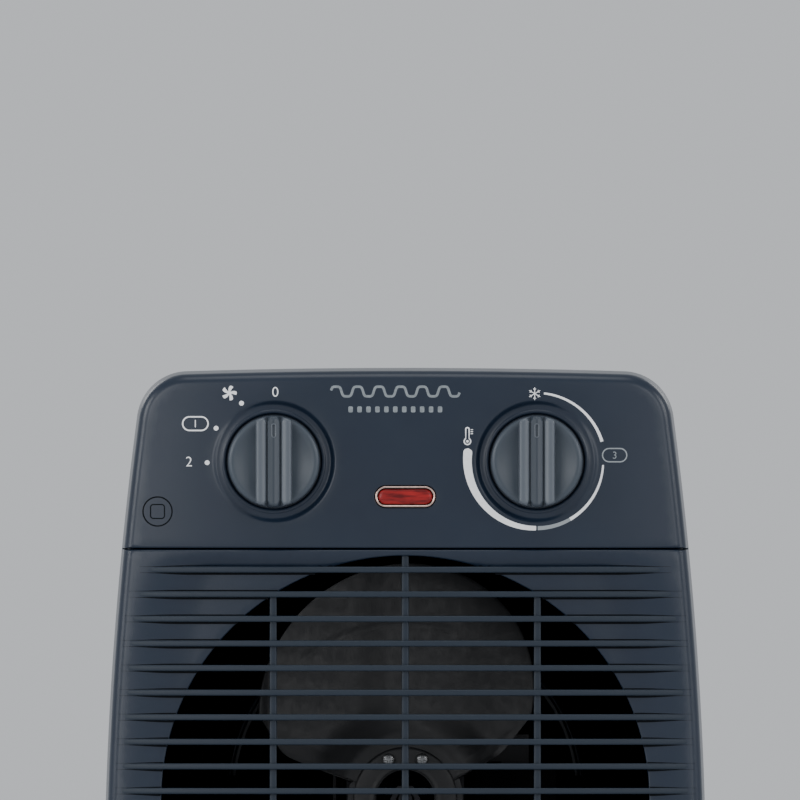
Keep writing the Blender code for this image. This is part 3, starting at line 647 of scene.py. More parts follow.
def hole_rings(outline, surface, profile):
    """Rings from a hole's edge inwards, by (grow, back); back is a depth below the surface, or gives y."""
    rings = []
    for grow, back in profile:
        depth = back if callable(back) else lambda x, z: surface(x, z) + back
        rings.append([(x, depth(x, z), z) for x, z in outline(grow)])
    return rings


def circle_outline(centre, radius, steps=96):
    """A function giving a round outline grown by some amount."""
    def grown(grow):
        return [(x, z) for x, _, z in circle(radius + grow, 0.0, centre, steps)]
    return grown


def lip(radius, depth, steps=4):
    """Profile of a hole with a rounded lip and a straight wall."""
    turns = [math.pi / 2 * step / steps for step in range(steps + 1)]
    return [(radius * (1 - math.sin(t)), radius * (1 - math.cos(t))) for t in turns] + [(0.0, depth)]


# ---------------- front cover and ribs


def recess_end(z):
    """How far from the middle the recess between the ribs reaches at a height."""
    below = max(0.0, RIB_TOP_Z + 5.0 - z)
    return half_width(z) - 3.4 - 8.5 * math.exp(-below / 9.0)


def recess(x, z):
    """Depth of the face between the ribs below the case's surface, fading out towards the sides."""
    sideways = smooth((recess_end(z) - abs(x)) / 24.0)
    return RECESS * sideways * smooth((SEAM_LOW - 0.7 - z) / 6.0) * smooth((z - 13.0) / 2.5)


def cover_y(x, z):
    """The lower front between the ribs."""
    return front_y(x) + recess(x, z)


def front_cover():
    """The lower front moulding with its outlet, ribs and upright bars."""
    skin = Skin()
    rings = front_rings(None, SEAM_LOW)
    skin.rings(rings)
    outlet = circle_outline((0.0, AXIS_Z), OPENING_R, 320)
    wall = hole_rings(outlet, cover_y, lip(0.5, 2.6))
    edge = len(skin.points)
    skin.rings(wall)
    patch(skin, list(range(len(rings[0]))), [list(range(edge, edge + len(wall[0])))], cover_y, 1.9)
    piece("cover_skin", skin, CASE_PLASTIC, ("front_cover",), thick=SKIN)
    for index in range(RIB_COUNT):
        rib(index)
    for side, x in (("left", -BAR_X), ("middle", 0.0), ("right", BAR_X)):
        upright_bar(side, x)


def rib(index):
    """One rib: a bowed bar with rounded front edges, its ends sinking into the cheeks."""
    z = RIB_TOP_Z - RIB_PITCH * index
    reach = min(recess_end(z), half_width(z) - FRONT_DRAFT - EDGE_FRONT - 0.2)
    half = RIB_HEIGHT / 2
    steps = 64
    front = arc((0.55, -half + 0.5), 0.5, 270, 180, 5) + arc((0.55, half - 0.5), 0.5, 180, 90, 5)
    section = [(RIB_DEPTH, -half + 0.2)] + front + [(RIB_DEPTH, half - 0.2)]
    across = [reach * (2 * step / steps - 1) for step in range(steps + 1)]
    skin = Skin().solid([[(x, front_y(x) + back, z + up) for back, up in section] for x in across])
    piece(f"rib_{index + 1}", skin, RIB_PLASTIC, sharp=40)
    rib_shadow_lines(index, z, reach)


def rib_shadow_lines(index, z, reach):
    """Painted shadow along both edges of a rib where it runs over the cheeks: narrow dark lines, thinning out
    to its tips.
    """
    steps = 24
    skin = Skin()
    for side in (-1, 1):
        for up, widest in ((1, SHADOW_LINE_UPPER), (-1, SHADOW_LINE_LOWER)):
            rings = []
            edge = z + up * (RIB_HEIGHT / 2 - 0.05)
            inner = math.sqrt(max(OPENING_R**2 - (edge - AXIS_Z) ** 2, 0.0)) + 0.3
            for step in range(steps + 1):
                x = inner + (reach + 1.5 - inner) * step / steps
                far = edge + up * (0.06 + widest * smooth((reach + 1.5 - x) / 17.0))
                rings.append([(side * x, cover_y(x, at) - over, at)
                              for at, over in ((edge, -0.3), (edge, 0.03), (far, 0.03), (far, -0.3))])
            skin.solid(rings)
    # Near-black strips laid on the cheeks as painted shadow of the rib's edges.
    piece(f"rib_shadow_lines_{index + 1}", skin, PAINTED_SHADE_LINE, sharp=40)


def upright_bar(side, x):
    """A bar behind the ribs, from edge to edge of the outlet."""
    half = math.sqrt(OPENING_R**2 - x**2) + 1.5
    middle_y = front_y(x) + RECESS + 1.4
    outline = rounded(BAR_WIDTH, 2.4, 0.5, 4)
    skin = Skin().solid([[(x + u, middle_y + v, AXIS_Z + end * half) for u, v in outline] for end in (-1, 1)])
    piece(f"upright_bar_{side}", skin, RIB_PLASTIC, sharp=50)


# ---------------- control panel


def dish_rings(x):
    """The two-step hollow that a knob sits in, from the panel's surface to its floor."""

    def level(share):
        return lambda px, pz: front_y(px) + (DISH_STEP_Y - front_y(px)) * share

    def flat(y):
        return lambda px, pz: y

    slope = ((1.3, 0.0), (0.9, 0.04), (0.5, 0.2), (0.15, 0.5), (-0.15, 0.8), (-0.5, 0.95), (-0.9, 1.0))
    ridge = ((0.5, -0.12), (0.2, -0.2), (0.0, -0.42), (-0.2, -0.5))
    inner = ((0.3, DISH_STEP_Y - 0.5), (0.1, DISH_STEP_Y - 0.4), (0.0, DISH_STEP_Y), (0.0, DISH_Y - 0.1),
             (-0.4, DISH_Y + 0.3), (SHAFT_HOLE_R - DISH_INNER_R, DISH_Y + 0.3))
    steps = [(DISH_R + grow, level(share)) for grow, share in slope]
    steps += [(RIDGE_R + grow, flat(DISH_STEP_Y + back)) for grow, back in ridge]
    steps += [(DISH_INNER_R + grow, flat(y)) for grow, y in inner]
    return hole_rings(circle_outline((x, KNOB_Z), 0.0, 128), front_y, steps)


def control_panel():
    """The upper front moulding with two knob wells and the lamp's slot."""
    skin = Skin()
    rings = front_rings(SEAM_HIGH, None)
    skin.rings(rings)
    length, height = BEZEL[1][0] - BEZEL[0][0] + 0.5, BEZEL[1][2] - BEZEL[0][2] + 0.5

    def slot_outline(grow):
        return [(x, z + LAMP_Z) for x, z in pill(length + 2 * grow, height + 2 * grow)]

    holes = []
    for hole in (dish_rings(-KNOB_X), dish_rings(KNOB_X), hole_rings(slot_outline, front_y, lip(0.3, 2.0))):
        edge = len(skin.points)
        skin.rings(hole)
        holes.append(list(range(edge, edge + len(hole[0]))))
    patch(skin, list(range(len(rings[0]))), holes, front_y, 2.2)
    piece("panel_skin", skin, CASE_PLASTIC, ("control_panel",), thick=SKIN)


# ---------------- printed and moulded marks


def mark(name, shapes, surface):
    """Flat (x, z) outlines laid on the panel's surface as thin ink."""
    skin = Skin()
    for number, shape in enumerate(shapes):
        over = PRINT_LIFT + 0.002 * (number % 7)
        skin.solid([[(x, front_y(x) - up, z) for x, z in shape] for up in (over, -0.1)])
    return piece(name, skin, surface, sharp=20)


def ribbon(name, bands, surface, lift=PRINT_LIFT, closed=False):
    """Ink strips, each between two edges of as many (x, z) points; a closed strip is a loop."""
    skin = Skin()
    for one, other in bands:
        start, count = len(skin.points), len(one)
        skin.hoop([[(x, front_y(x) - over, z) for x, z in line]
                   for line, over in ((one, -0.1), (one, lift), (other, lift), (other, -0.1))], closed)
        if not closed:
            for end in (0, count - 1):
                skin.cap([start + end + row * count for row in range(4)])
    return piece(name, skin, surface, sharp=20)


def dial_point(x, radius, turn):
    """A point round a knob; turn is in degrees clockwise from the top."""
    angle = math.radians(turn)
    return x + radius * math.sin(angle), KNOB_Z + radius * math.cos(angle)


def dial_band(x, start, end, radii, widths, steps=60, round_end=False):
    """Edges of an arc that may grow wider and further out as it goes round."""
    one, other = [], []
    for step in range(steps + 1):
        share = step / steps
        radius = radii[0] + (radii[1] - radii[0]) * share
        half = (widths[0] + (widths[1] - widths[0]) * share) / 2
        if round_end:
            left = (1 - share) * math.radians(abs(end - start)) * radius
            into = max(0.0, 1.0 - left / half) if half else 0.0
            half *= math.sqrt(max(0.0, 1 - into**2)) + 0.001
        turn = start + (end - start) * share
        one.append(dial_point(x, radius - half, turn))
        other.append(dial_point(x, radius + half, turn))
    return one, other


def beside(points, half):
    """The two lines that run along a line of (x, z) points, half to its right and half to its left."""
    right, left = [], []
    for i, (x, z) in enumerate(points):
        before, after = points[max(i - 1, 0)], points[min(i + 1, len(points) - 1)]
        run, rise = after[0] - before[0], after[1] - before[1]
        length = math.hypot(run, rise)
        right.append((x + half * rise / length, z - half * run / length))
        left.append((x - half * rise / length, z + half * run / length))
    return right, left


def stroke(points, width):
    """Outline of a line with round ends through a few (x, z) points."""
    right, left = beside(points, width / 2)
    ends = []
    for end, other in ((points[-1], points[-2]), (points[0], points[1])):
        heading = math.degrees(math.atan2(end[1] - other[1], end[0] - other[0]))
        ends.append(arc(end, width / 2, heading - 80, heading + 80, 6))
    return right + ends[0] + left[::-1] + ends[1]


def loop_band(outline, width):
    """Edges of a closed line about an outline function."""
    return outline(-width / 2), outline(width / 2)


def digit(name, text, centre, height, surface):
    """A plain figure on the dial."""
    words = bpy.data.curves.new(name + "_text", "FONT")
    words.body = text
    words.align_x, words.align_y = "CENTER", "CENTER"
    words.size = MM * height * FONT_RISE
    words.extrude = MM * 0.06
    words.offset = -MM * 0.03
    holder = new_object(name + "_text", words)
    mesh = evaluated_mesh(holder)
    bpy.data.objects.remove(holder)
    ends = [(min(values), max(values)) for values in zip(*[vertex.co for vertex in mesh.vertices])]
    for vertex in mesh.vertices:
        x, z = [at + (value - (high + low) / 2) / MM
                for at, value, (low, high) in zip(centre, vertex.co, ends)]
        vertex.co = (MM * x, MM * (front_y(x) - 0.02) - vertex.co.z, MM * z)
    mesh.materials.clear()
    mesh.materials.append(surface)
    made = new_object(name, mesh)
    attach(made, "housing")
    return made


def badge(name, centre, length, height, width, surface):
    """A line round a figure, in the shape of a bar with round ends."""

    def outline(grow):
        bar = divided_pill(length + 2 * grow, height + 2 * grow)
        return [(centre[0] + x, centre[1] + z) for x, z in bar]

    ribbon(name, [loop_band(outline, width)], surface, closed=True)


def fan_sign(centre, size):
    """Five blades round a hub, each widening outwards and leaning one way."""
    blades = 5
    blade = ((0.08, -26), (0.2, -18), (0.31, -9), (0.41, -1), (0.49, 7), (0.5, 20),
             (0.48, 34), (0.38, 33), (0.27, 32), (0.17, 34), (0.08, 42))

    def place(radius, turn):
        angle = math.radians(turn)
        return centre[0] + size * radius * math.sin(angle), centre[1] + size * radius * math.cos(angle)

    shapes = [arc(centre, size * 0.14, 0, 345, 23)]
    for index in range(blades):
        shapes.append([place(radius, 360 * index / blades + lean) for radius, lean in blade])
    return shapes


def snowflake(centre, size):
    """Three crossing strokes with small barbs."""
    shapes = []
    for arm in range(6):
        turn = math.radians(60 * arm + 90)
        across, up = math.cos(turn), math.sin(turn)

        def place(u, v):
            return centre[0] + size * (u * across - v * up), centre[1] + size * (u * up + v * across)

        shapes.append(stroke([place(0.0, 0.0), place(0.5, 0.0)], size * 0.065))
        for side in (-1, 1):
            shapes.append(stroke([place(0.3, 0.0), place(0.4, 0.1 * side)], size * 0.05))
    return shapes


def thermometer(centre, height):
    """A tube with a bulb, drawn as a line, and three marks beside it."""
    x, z = centre
    bulb, tube = height * 0.19, height * 0.1
    low = z - height / 2 + bulb
    top = z + height / 2 - tube
    lean = math.degrees(math.asin(tube / bulb))

    def line(grow):
        b, t = bulb + grow, tube + grow
        return arc((x, low), b, 90 + lean, 450 - lean, 26) + arc((x, top), t, 0, 180, 12)

    marks = [stroke([(x + tube * 2.1, top - height * step), (x + tube * 3.1, top - height * step)], 0.28)
             for step in (0.02, 0.14, 0.26)]
    return loop_band(line, 0.42), [arc((x, low), bulb * 0.42, 0, 345, 18)] + marks


def dial_marks():
    """The print round both knobs: dots, figures, signs and the temperature arc."""
    left, right = -KNOB_X, KNOB_X
    dots = [arc(dial_point(left, 22.0, -turn), 0.8, 0, 345, 23) for turn in (29, 60, 91)]
    mark("selector_dots", dots, WHITE_PRINT)
    mark("fan_sign", fan_sign((left - 14.7, KNOB_Z + 22.6), 5.0), WHITE_PRINT)
    digit("figure_zero", "0", (left + 0.5, KNOB_Z + 23.0), 3.3, WHITE_PRINT)
    digit("figure_one", "1", (left - 25.9, KNOB_Z + 12.5), 2.6, WHITE_PRINT)
    digit("figure_two", "2", (left - 28.0, KNOB_Z), 3.3, WHITE_PRINT)
    digit("figure_three", "3", (right + 25.7, KNOB_Z + 2.1), 2.4, GREY_PRINT)

    badge("selector_badge", (left - 25.9, KNOB_Z + 12.5), 8.4, 4.5, 0.45, WHITE_PRINT)
    badge("thermostat_badge", (right + 25.7, KNOB_Z + 2.1), 8.0, 4.4, 0.4, GREY_PRINT)
    mark("snowflake", snowflake((right - 0.7, KNOB_Z + 22.4), 4.0), WHITE_PRINT)
    ribbon("arc_cool", [dial_band(right, 6, 73, (22.6, 22.5), (0.65, 1.0))], WHITE_PRINT)
    ribbon("arc_warm", [dial_band(right, 93, 150, (21.9, 22.0), (0.6, 1.1))], WHITE_PRINT)
    ribbon("arc_warm_end", [dial_band(right, 150, 179.2, (22.0, 22.0), (1.1, 1.35))], GREY_PRINT)
    ribbon("arc_hot", [dial_band(right, 180.6, 281, (22.0, 23.0), (1.45, 3.0), 90, True)], WHITE_PRINT)
    tube, marks = thermometer((right - 22.9, KNOB_Z + 8.4), 5.6)
    ribbon("thermometer_tube", [tube], WHITE_PRINT, closed=True)
    mark("thermometer_marks", marks, WHITE_PRINT)


def maker_mark():
    """Plain ornaments in place of a name: a rounded wave over a row of small blocks."""
    x, z = -3.3, 232.7
    reach, pitch, rise, half, flatness = 21.2, 7.1, 1.6, 0.42, 2.4
    line = []
    for step in range(241):
        u = reach * (step / 120 - 1)
        swing = math.tanh(flatness * math.sin(math.tau * u / pitch)) / math.tanh(flatness)
        line.append((x + u, z + rise * swing))
    ribbon("badge_wave", [beside(line, half)], SILVER_PRINT)
    block = rounded(1.5, 2.0, 0.4, 3)
    blocks = [[(x + 2.95 * step + u, z - 5.9 + v) for u, v in block] for step in range(-5, 6)]
    mark("badge_blocks", blocks, SILVER_PRINT)


def moulded_ring():
    """A small ring with a square in it, drawn as dark lines of painted shade like the shaded sunk lines that
    moulding leaves.
    """
    centre = (-81.8, 193.1)
    ring = circle_outline(centre, 4.8, 64)

    def square(grow):
        side = 4.6 + 2 * grow
        return [(centre[0] + x, centre[1] + z) for x, z in rounded(side, side, 0.9 + grow, 4)]

    bands = [loop_band(ring, 0.45), loop_band(square, 0.4)]
    # The lines are near-black strips, painted shade standing in for sunk grooves.
    ribbon("moulded_ring", bands, PAINTED_SHADE_LINE, 0.02, True)


# ---------------- knobs and lamp

POINTER_AT = 10.2
GRIP_ROUND = 1.1
GRIP_SIDE_ROUND = 0.5
TONGUE_HALF = 2.3


def flute(u, from_end):
    """Height lost across the grip bar: side bands, and a tongue between grooves that deepen at the ends."""
    side = abs(u)
    at_end = smooth(1 - from_end / 2.0)
    lost = (0.6 + 2.6 * at_end) * math.exp(-(((side - 2.25) / (0.34 + 0.3 * at_end)) ** 2))
    if side < 2.0:
        lost += 0.5 * (1 - (side / 2.0) ** 2) ** 2 + 0.1
    else:
        lost += 0.3 * ((side - 4.3) / 1.6) ** 2 + 0.06 * (4.3 - side)
    return lost


def pointer(u, v):
    """Depth of the slot that shows where the knob points."""
    along = max(abs(v - POINTER_AT) - 1.55, 0.0)
    return 0.25 * smooth((0.62 - math.hypot(u, along)) / 0.22)


def round_over(into, radius):
    """Height lost to a rounded edge, into which a point reaches from 0 at its start to 1 at its end."""
    return radius * (1 - math.sqrt(max(0.0, 1 - max(0.0, into) ** 2)))


def knob_disc(kind, centre, rear, face):
    """The round skirt: a rounded rim and a face that dishes in towards the middle."""
    profile = [(3.3, rear), (KNOB_R - 0.9, rear), (KNOB_R - 0.35, rear - 0.35), (KNOB_R, rear - 1.0)]
    profile += [(KNOB_R - 0.12, face + 0.95)]
    profile += [(KNOB_R - 1.52 + u, face + 0.95 - v) for u, v in arc((0, 0), 1.4, 8, 80, 8)]
    profile += [(13.0, face - 0.3), (12.0, face), (10.5, face + 0.4), (9.0, face + 0.7), (7.5, face + 0.9)]
    profile += [(0.4, face + 1.2)]
    skin = turned(profile, centre, 128)
    piece(f"{kind}_disc", skin, KNOB_PLASTIC, (f"knob_{kind}",), kind, sharp=28)


def knob_grip(kind, centre, face):
    """The fluted bar across the skirt that the fingers turn, its foot a little wider."""
    half, radius, columns, rows = 5.8, KNOB_R - 0.3, 84, 150
    grip = Skin()
    grid = []
    for row in range(rows + 1):
        along = -1 + 2 * row / rows
        along = 1.25 * along - 0.25 * along**3
        line = []
        for column in range(columns + 1):
            u = half * (2 * column / columns - 1)
            reach = math.sqrt(radius**2 - u**2)
            from_end = reach - abs(along * reach)
            back = flute(u, from_end) + pointer(u, along * reach)
            back += round_over(1 - from_end / GRIP_ROUND, GRIP_ROUND)
            back += round_over(1 - (half - abs(u)) / GRIP_SIDE_ROUND, GRIP_SIDE_ROUND)
            line.append((centre[0] + u, KNOB_FRONT + back, centre[1] + along * reach))
        grid.append(grip.add(line))
    for one, other in zip(grid, grid[1:]):
        grip.band(one, other, closed=False)
    rim = grid[0] + [line[-1] for line in grid[1:]] + grid[-1][-2::-1] + [line[0] for line in grid[-2:0:-1]]
    foot = grip.add([(centre[0] + (grip.points[i][0] - centre[0]) * 1.045, face + 0.8, grip.points[i][2])
                     for i in rim])
    grip.band(rim, foot)
    grip.cap(foot)
    # The tongue gets the darker copy of the knob plastic as painted shade, the side bands the lighter copy as
    # painted highlight.
    made = piece(f"{kind}_grip", grip, KNOB_PLASTIC_PAINTED_SHADE, body=kind, sharp=50)
    made.data.materials.append(KNOB_PLASTIC_PAINTED_HIGHLIGHT)
    for part in made.data.polygons:
        part.material_index = 1 if abs(part.center.x / MM - centre[0]) > TONGUE_HALF else 0


def knob_pointer(kind, centre):
    """The thin raised line round the pointer's slot."""
    rings = []
    for grow, y in ((0.12, 0.5), (0.12, 0.05), (0.0, -0.02), (-0.18, -0.02), (-0.28, 0.06), (-0.28, 0.5)):
        outline = pill(4.6 + 2 * grow, 1.5 + 2 * grow, 12)
        rings.append([(centre[0] + z, KNOB_FRONT + 0.42 + y, centre[1] + POINTER_AT + x) for x, z in outline])
    # The raised line gets the lighter copy of the knob plastic, a painted highlight.
    piece(f"{kind}_pointer", Skin().hoop(rings), KNOB_PLASTIC_PAINTED_HIGHLIGHT, body=kind, sharp=40)


def knob(kind):
    """One control knob of three pieces, all turning with its shaft."""
    centre = middle(KNOBS[kind])
    face = KNOB_FRONT + 5.3
    knob_disc(kind, centre, KNOBS[kind][1][1], face)
    knob_grip(kind, centre, face)
    knob_pointer(kind, centre)


def indicator():
    """The plated rim and the domed red lens in it."""

    def ring(length, height, inset, y):
        return [(LAMP_X + x, y, LAMP_Z + z) for x, z in pill(length - 2 * inset, height - 2 * inset, 20)]

    (left, near, low), (right, far, high) = BEZEL
    section = ((0.0, far), (0.0, near + 0.15), (0.1, near + 0.03), (0.25, near), (0.42, near + 0.03),
               (0.58, near + 0.16), (0.6, far))
    rim = Skin().hoop([ring(right - left, high - low, inset, y) for inset, y in section])
    piece("lamp_rim", rim, BEZEL_METAL, ("indicator_bezel",), sharp=40)
    (left, near, low), (right, far, high) = LENS
    section = ((0.0, far), (0.0, near + 0.7), (0.12, near + 0.45), (0.4, near + 0.22), (0.9, near + 0.08),
               (1.6, near + 0.02), (2.3, near))
    lens = Skin().solid([ring(right - left, high - low, inset, y) for inset, y in section])
    piece("lamp_lens", lens, RED_LENS, ("indicator_lens",), sharp=40)


# ---------------- fan and what shows through the outlet

PETAL_R = 45.2
PETAL_OFFSET = 32.7
PETAL_LEAN = 0.09
PETAL_LEAN_FROM = 65.0
PETAL_RIGHT = ((17.6, 6.7), (31.6, 14.7), (41.3, 27.0))
PETAL_LEFT = ((-17.6, 5.5), (-31.2, 10.9), (-40.7, 14.7), (-47.3, 26.0))
PETAL_PITCH = 0.34
HUB_R = 17.6
NECK_R = 19.0
FAN_Y = (BLADE[0][1] + BLADE[1][1]) / 2


def petal_reach(turn):
    """Distance of the petal's curved edge from the axis; turn is clockwise from its top."""
    across, up = math.sin(turn) - PETAL_LEAN * math.cos(turn), math.cos(turn)
    shift = PETAL_LEAN * PETAL_LEAN_FROM
    square = across**2 + up**2
    linear = 2 * (shift * across - PETAL_OFFSET * up)
    rest = shift**2 + PETAL_OFFSET**2 - PETAL_R**2
    return (math.sqrt(linear**2 - 4 * square * rest) - linear) / (2 * square)


def petal_side(corners):
    """Corner points, with those between the ends rounded off, as (turn, reach)."""
    steps = 5
    points = [corners[0]]
    for before, corner, after in zip(corners, corners[1:], corners[2:]):
        lengths = [math.dist(corner, before), math.dist(corner, after)]
        cut = min(3.5, 0.45 * min(lengths))
        ends = [[c + (o - c) * cut / length for c, o in zip(corner, other)]
                for other, length in zip((before, after), lengths)]
        for step in range(steps + 1):
            t = step / steps
            points.append(tuple((1 - t) ** 2 * p + 2 * t * (1 - t) * q + t**2 * r
                                for p, q, r in zip(ends[0], corner, ends[1])))
    points.append(corners[-1])
    return [(math.atan2(x, z), math.hypot(x, z)) for x, z in points]


def blade_edge():
    """Both petals' outline as (turn, reach) from the axis, clockwise, with a neck between the petals."""
    arc_steps, neck_steps = 120, 14
    edge = petal_side(PETAL_LEFT)
    first, last = edge[-1][0], math.atan2(*PETAL_RIGHT[-1])
    for step in range(1, arc_steps):
        turn = first + (last - first) * step / arc_steps
        edge.append((turn, petal_reach(turn)))
    edge += petal_side(PETAL_RIGHT)[::-1]
    start, end = edge[-1][0], edge[0][0] + math.pi
    for step in range(1, neck_steps + 1):
        edge.append((start + (end - start) * step / (neck_steps + 1), NECK_R))
    return edge + [(turn + math.pi, reach) for turn, reach in edge]


def blade_y(x, z):
    """The pressed sheet: flat at the hub, twisted petals, and a stiffening bead across each."""
    radius = math.hypot(x, z)
    share = smooth((radius - HUB_R) / 16.0)
    turn = math.degrees(math.atan2(x, abs(z)) * (1 if z > 0 else -1))
    bead = 0.45 * math.exp(-(((radius - 57.6) / 0.7) ** 2))
    bead *= smooth((turn + 40) / 8) * smooth((20 - turn) / 8)
    fold = 0.35 * math.exp(-(((radius - 21.5) / 1.6) ** 2))
    return FAN_Y + PETAL_PITCH * x * share * math.tanh(z / 9.0) + bead + fold


def fan():
    """The pressed blade, the ring that clamps it, and the four screws that hold both."""
    sheet = Skin()
    edge, rows, bore = blade_edge(), 60, 9.6
    rings = []
    for row in range(rows + 1):
        ring = []
        for turn, reach in edge:
            radius = bore + (reach - 0.05 - bore) * row / rows
            x, z = radius * math.sin(turn), radius * math.cos(turn)
            ring.append((x, blade_y(x, z), AXIS_Z + z))
        rings.append(ring)
    sheet.rings(rings)
    made = piece("fan_petals", sheet, FAN_COAT, ("fan_blade",), "fan", sharp=50, thick=1.2)
    made.modifiers["wall"].offset = 0.0
    add_bevel(made, 0.3, 2, 60)
    near, far = CLAMP[0][1], CLAMP[1][1]
    profile = [(9.9, far), (9.9, near + 0.5), (10.0, near + 0.15), (10.3, near), (10.8, near)]
    profile += [(11.2, near + 0.2), (12.0, near + 0.3), (16.2, near + 0.3), (16.8, near + 0.5)]
    profile += [(17.2, near + 1.0), (17.2, far)]
    clamp = turned(profile, (0.0, AXIS_Z), 120, True)
    piece("clamp_ring", clamp, FAN_COAT, ("fan_clamp_ring",), "fan", sharp=40)
    for index in range(1, 5):
        screw_head(f"hub_screw_{index}", f"hub_screw_head_{index}", "fan", 1, HUB_SCREW, HUB_CROSS)


# A pan head's (radius, depth below its crown) from the shank inwards, and its cross recess: half its width,
# its reach, the radius it sinks within, and its depth.
HUB_SCREW = ((1.1, 1.6), (2.05, 1.55), (2.1, 1.1), (1.95, 0.6), (1.6, 0.28), (1.2, 0.1), (0.8, 0.03),
             (0.45, 0.0))
HUB_CROSS = (0.24, 1.25, 1.3, 0.45)
CASE_SCREW = ((1.6, 3.2), (3.75, 3.1), (3.8, 2.2), (3.6, 1.3), (3.0, 0.6), (2.2, 0.2), (1.4, 0.05),
              (0.7, 0.0))
CASE_CROSS = (0.45, 2.3, 2.3, 0.9)


def screw_head(node, name, body, facing, head, cross):
    """A pan-head screw with a cross recess; facing is 1 for a head that looks forwards and -1 backwards."""
    steps = 64
    box = node_box(node)
    centre = middle(box)
    crown = box[0][1] if facing > 0 else box[1][1]
    narrow, long, sunk_within, sink = cross
    rings = []
    for radius, back in ((head[0][0], box[1][1] - box[0][1]),) + head:
        ring = []
        for step in range(steps):
            turn = math.tau * step / steps
            x, z = radius * math.cos(turn), radius * math.sin(turn)
            along, across = max(abs(x), abs(z)), min(abs(x), abs(z))
            sunk = sink if across < narrow and along < long and radius < sunk_within else 0.0
            ring.append((centre[0] + x, crown + facing * (back + sunk), centre[1] + z))
        rings.append(ring)
    piece(name, Skin().solid(rings), STEEL, (node,), body, sharp=35)


def duct():
    """The tunnel round the fan, with shallow rings where the tool's inserts met."""
    near, far = DUCT[0][1], DUCT[1][1]
    outer, waist = DUCT_R + 4.0, DUCT_R + 2.2
    profile = [(outer, near), (DUCT_R + 0.6, near), (DUCT_R + 0.15, near + 0.15), (DUCT_R, near + 0.6)]
    for y in (near + 14.0, near + 40.0, near + 62.0):
        profile += [(DUCT_R, y), (DUCT_R + 0.35, y + 0.2), (DUCT_R + 0.35, y + 0.9), (DUCT_R, y + 1.1)]
    profile += [(DUCT_R, far), (outer, far), (outer, far - 2.0), (waist, far - 2.0)]
    profile += [(waist, near + 2.0), (outer, near + 2.0)]
    skin = turned(profile, (0.0, AXIS_Z), 160, True)
    # Near black, as painted shade deep inside the case.
    piece("duct_skin", skin, INNER_BLACK_AND_SHADE, ("fan_duct",), sharp=35)


# ---------------- rear


def rear_rings():
    """Rings of the rear moulding, from the tongue inside the front ones back and round onto the rear face."""
    rings = [[(x, y, z) for x, z in case_outline(SKIN + 0.2)] for y in (PART_REAR - 3.0, PART_REAR)]
    for share in (0.0, 0.012, 0.2, 0.4, 0.6, 0.8):
        ring = []
        for x, z in case_outline(REAR_DRAFT * share + (0.3 if share == 0.0 else 0.0)):
            far = rear_y(x, z) - EDGE_REAR
            ring.append((x, PART_REAR + (far - PART_REAR) * share, z))
        rings.append(ring)
    steps = 12
    for step in range(steps + 1):
        turn = math.pi / 2 * step / steps
        inset = REAR_DRAFT + EDGE_REAR * (1 - math.cos(turn))
        back = EDGE_REAR * (1 - math.sin(turn))
        rings.append([(x, rear_y(x, z) - back, z) for x, z in case_outline(inset)])
    return rings


CASE_SCREWS = ("screw_lower_left", "screw_lower_right", "screw_upper_left", "screw_upper_right")
POCKET = {"half": 48.0, "low": 191.0, "high": 222.0, "lip_high": 229.0, "lip_y": 34.0, "floor_y": 15.0}


def pocket_rings():
    """The grip pocket: a rounded mouth, straight walls, and a hollow above its lip for the fingers."""
    low, high, lip_high, lip_y = POCKET["low"], POCKET["high"], POCKET["lip_high"], POCKET["lip_y"]
    corner_steps, side_steps, floor_round = 10, 24, 3.0

    def outline(grow, top):
        centre = (low + top) / 2
        corners = rounded(2 * (POCKET["half"] + grow), top - low + 2 * grow, 5.0 + grow, corner_steps)
        loop = []
        for i, (x, z) in enumerate(corners):
            loop.append((x, centre + z))
            if i % (corner_steps + 1) == corner_steps:
                after = corners[(i + 1) % len(corners)]
                for step in range(1, side_steps):
                    share = step / side_steps
                    loop.append((x + (after[0] - x) * share, centre + z + (after[1] - z) * share))
        return loop

    rings = [[(x, rear_y(x, z) - back, z) for x, z in outline(grow, high)] for grow, back in lip(1.6, 3.0, 6)]
    for top, y in ((high, lip_y + 1.2), (high + 0.3, lip_y + 0.4), (high + 1.2, lip_y),
                   (lip_high - 1.0, lip_y), (lip_high, lip_y - 1.0),
                   (lip_high, POCKET["floor_y"] + floor_round)):
        rings.append([(x, y, z) for x, z in outline(0.0, top)])
    for turn in (30, 60, 90):
        angle = math.radians(turn)
        y = POCKET["floor_y"] + floor_round * (1 - math.sin(angle))
        rings.append([(x, y, z) for x, z in outline(-floor_round * (1 - math.cos(angle)), lip_high)])
    return rings


def plunger_opening(skin, count):
    """Opens the plunger's way in the rear moulding's floor, between the rings on either side of it.

    count is how many points each ring has.
    """
    ring = max(number for number in range(len(skin.points) // count)
               if skin.points[number * count][1] < PLUNGER_XY[1] - PLUNGER_WAY_R)
    columns = [i for i in range(count) if skin.points[ring * count + i][2] < BODY_BOTTOM + 5.0
               and abs(skin.points[ring * count + i][0] - PLUNGER_XY[0]) < PLUNGER_WAY_R + 3.0]
    near = [ring * count + i for i in columns]
    far = [(ring + 1) * count + i for i in columns]
    taken = set(near + far)
    skin.faces = [face for face in skin.faces if not taken.issuperset(face)]
    centre = len(columns) // 2
    (_, y1, z1), (_, y2, z2) = skin.points[near[centre]], skin.points[far[centre]]
    round_way = flat_circle(PLUNGER_WAY_R, 0.0, PLUNGER_XY, 48)
    way = skin.add([(x, y, z1 + (z2 - z1) * (y - y1) / (y2 - y1)) for x, y, _ in round_way])
    loops = [[skin.points[i][:2] for i in loop] for loop in (near + far[::-1], way)]
    fill(skin, near + far[::-1] + way, loops)


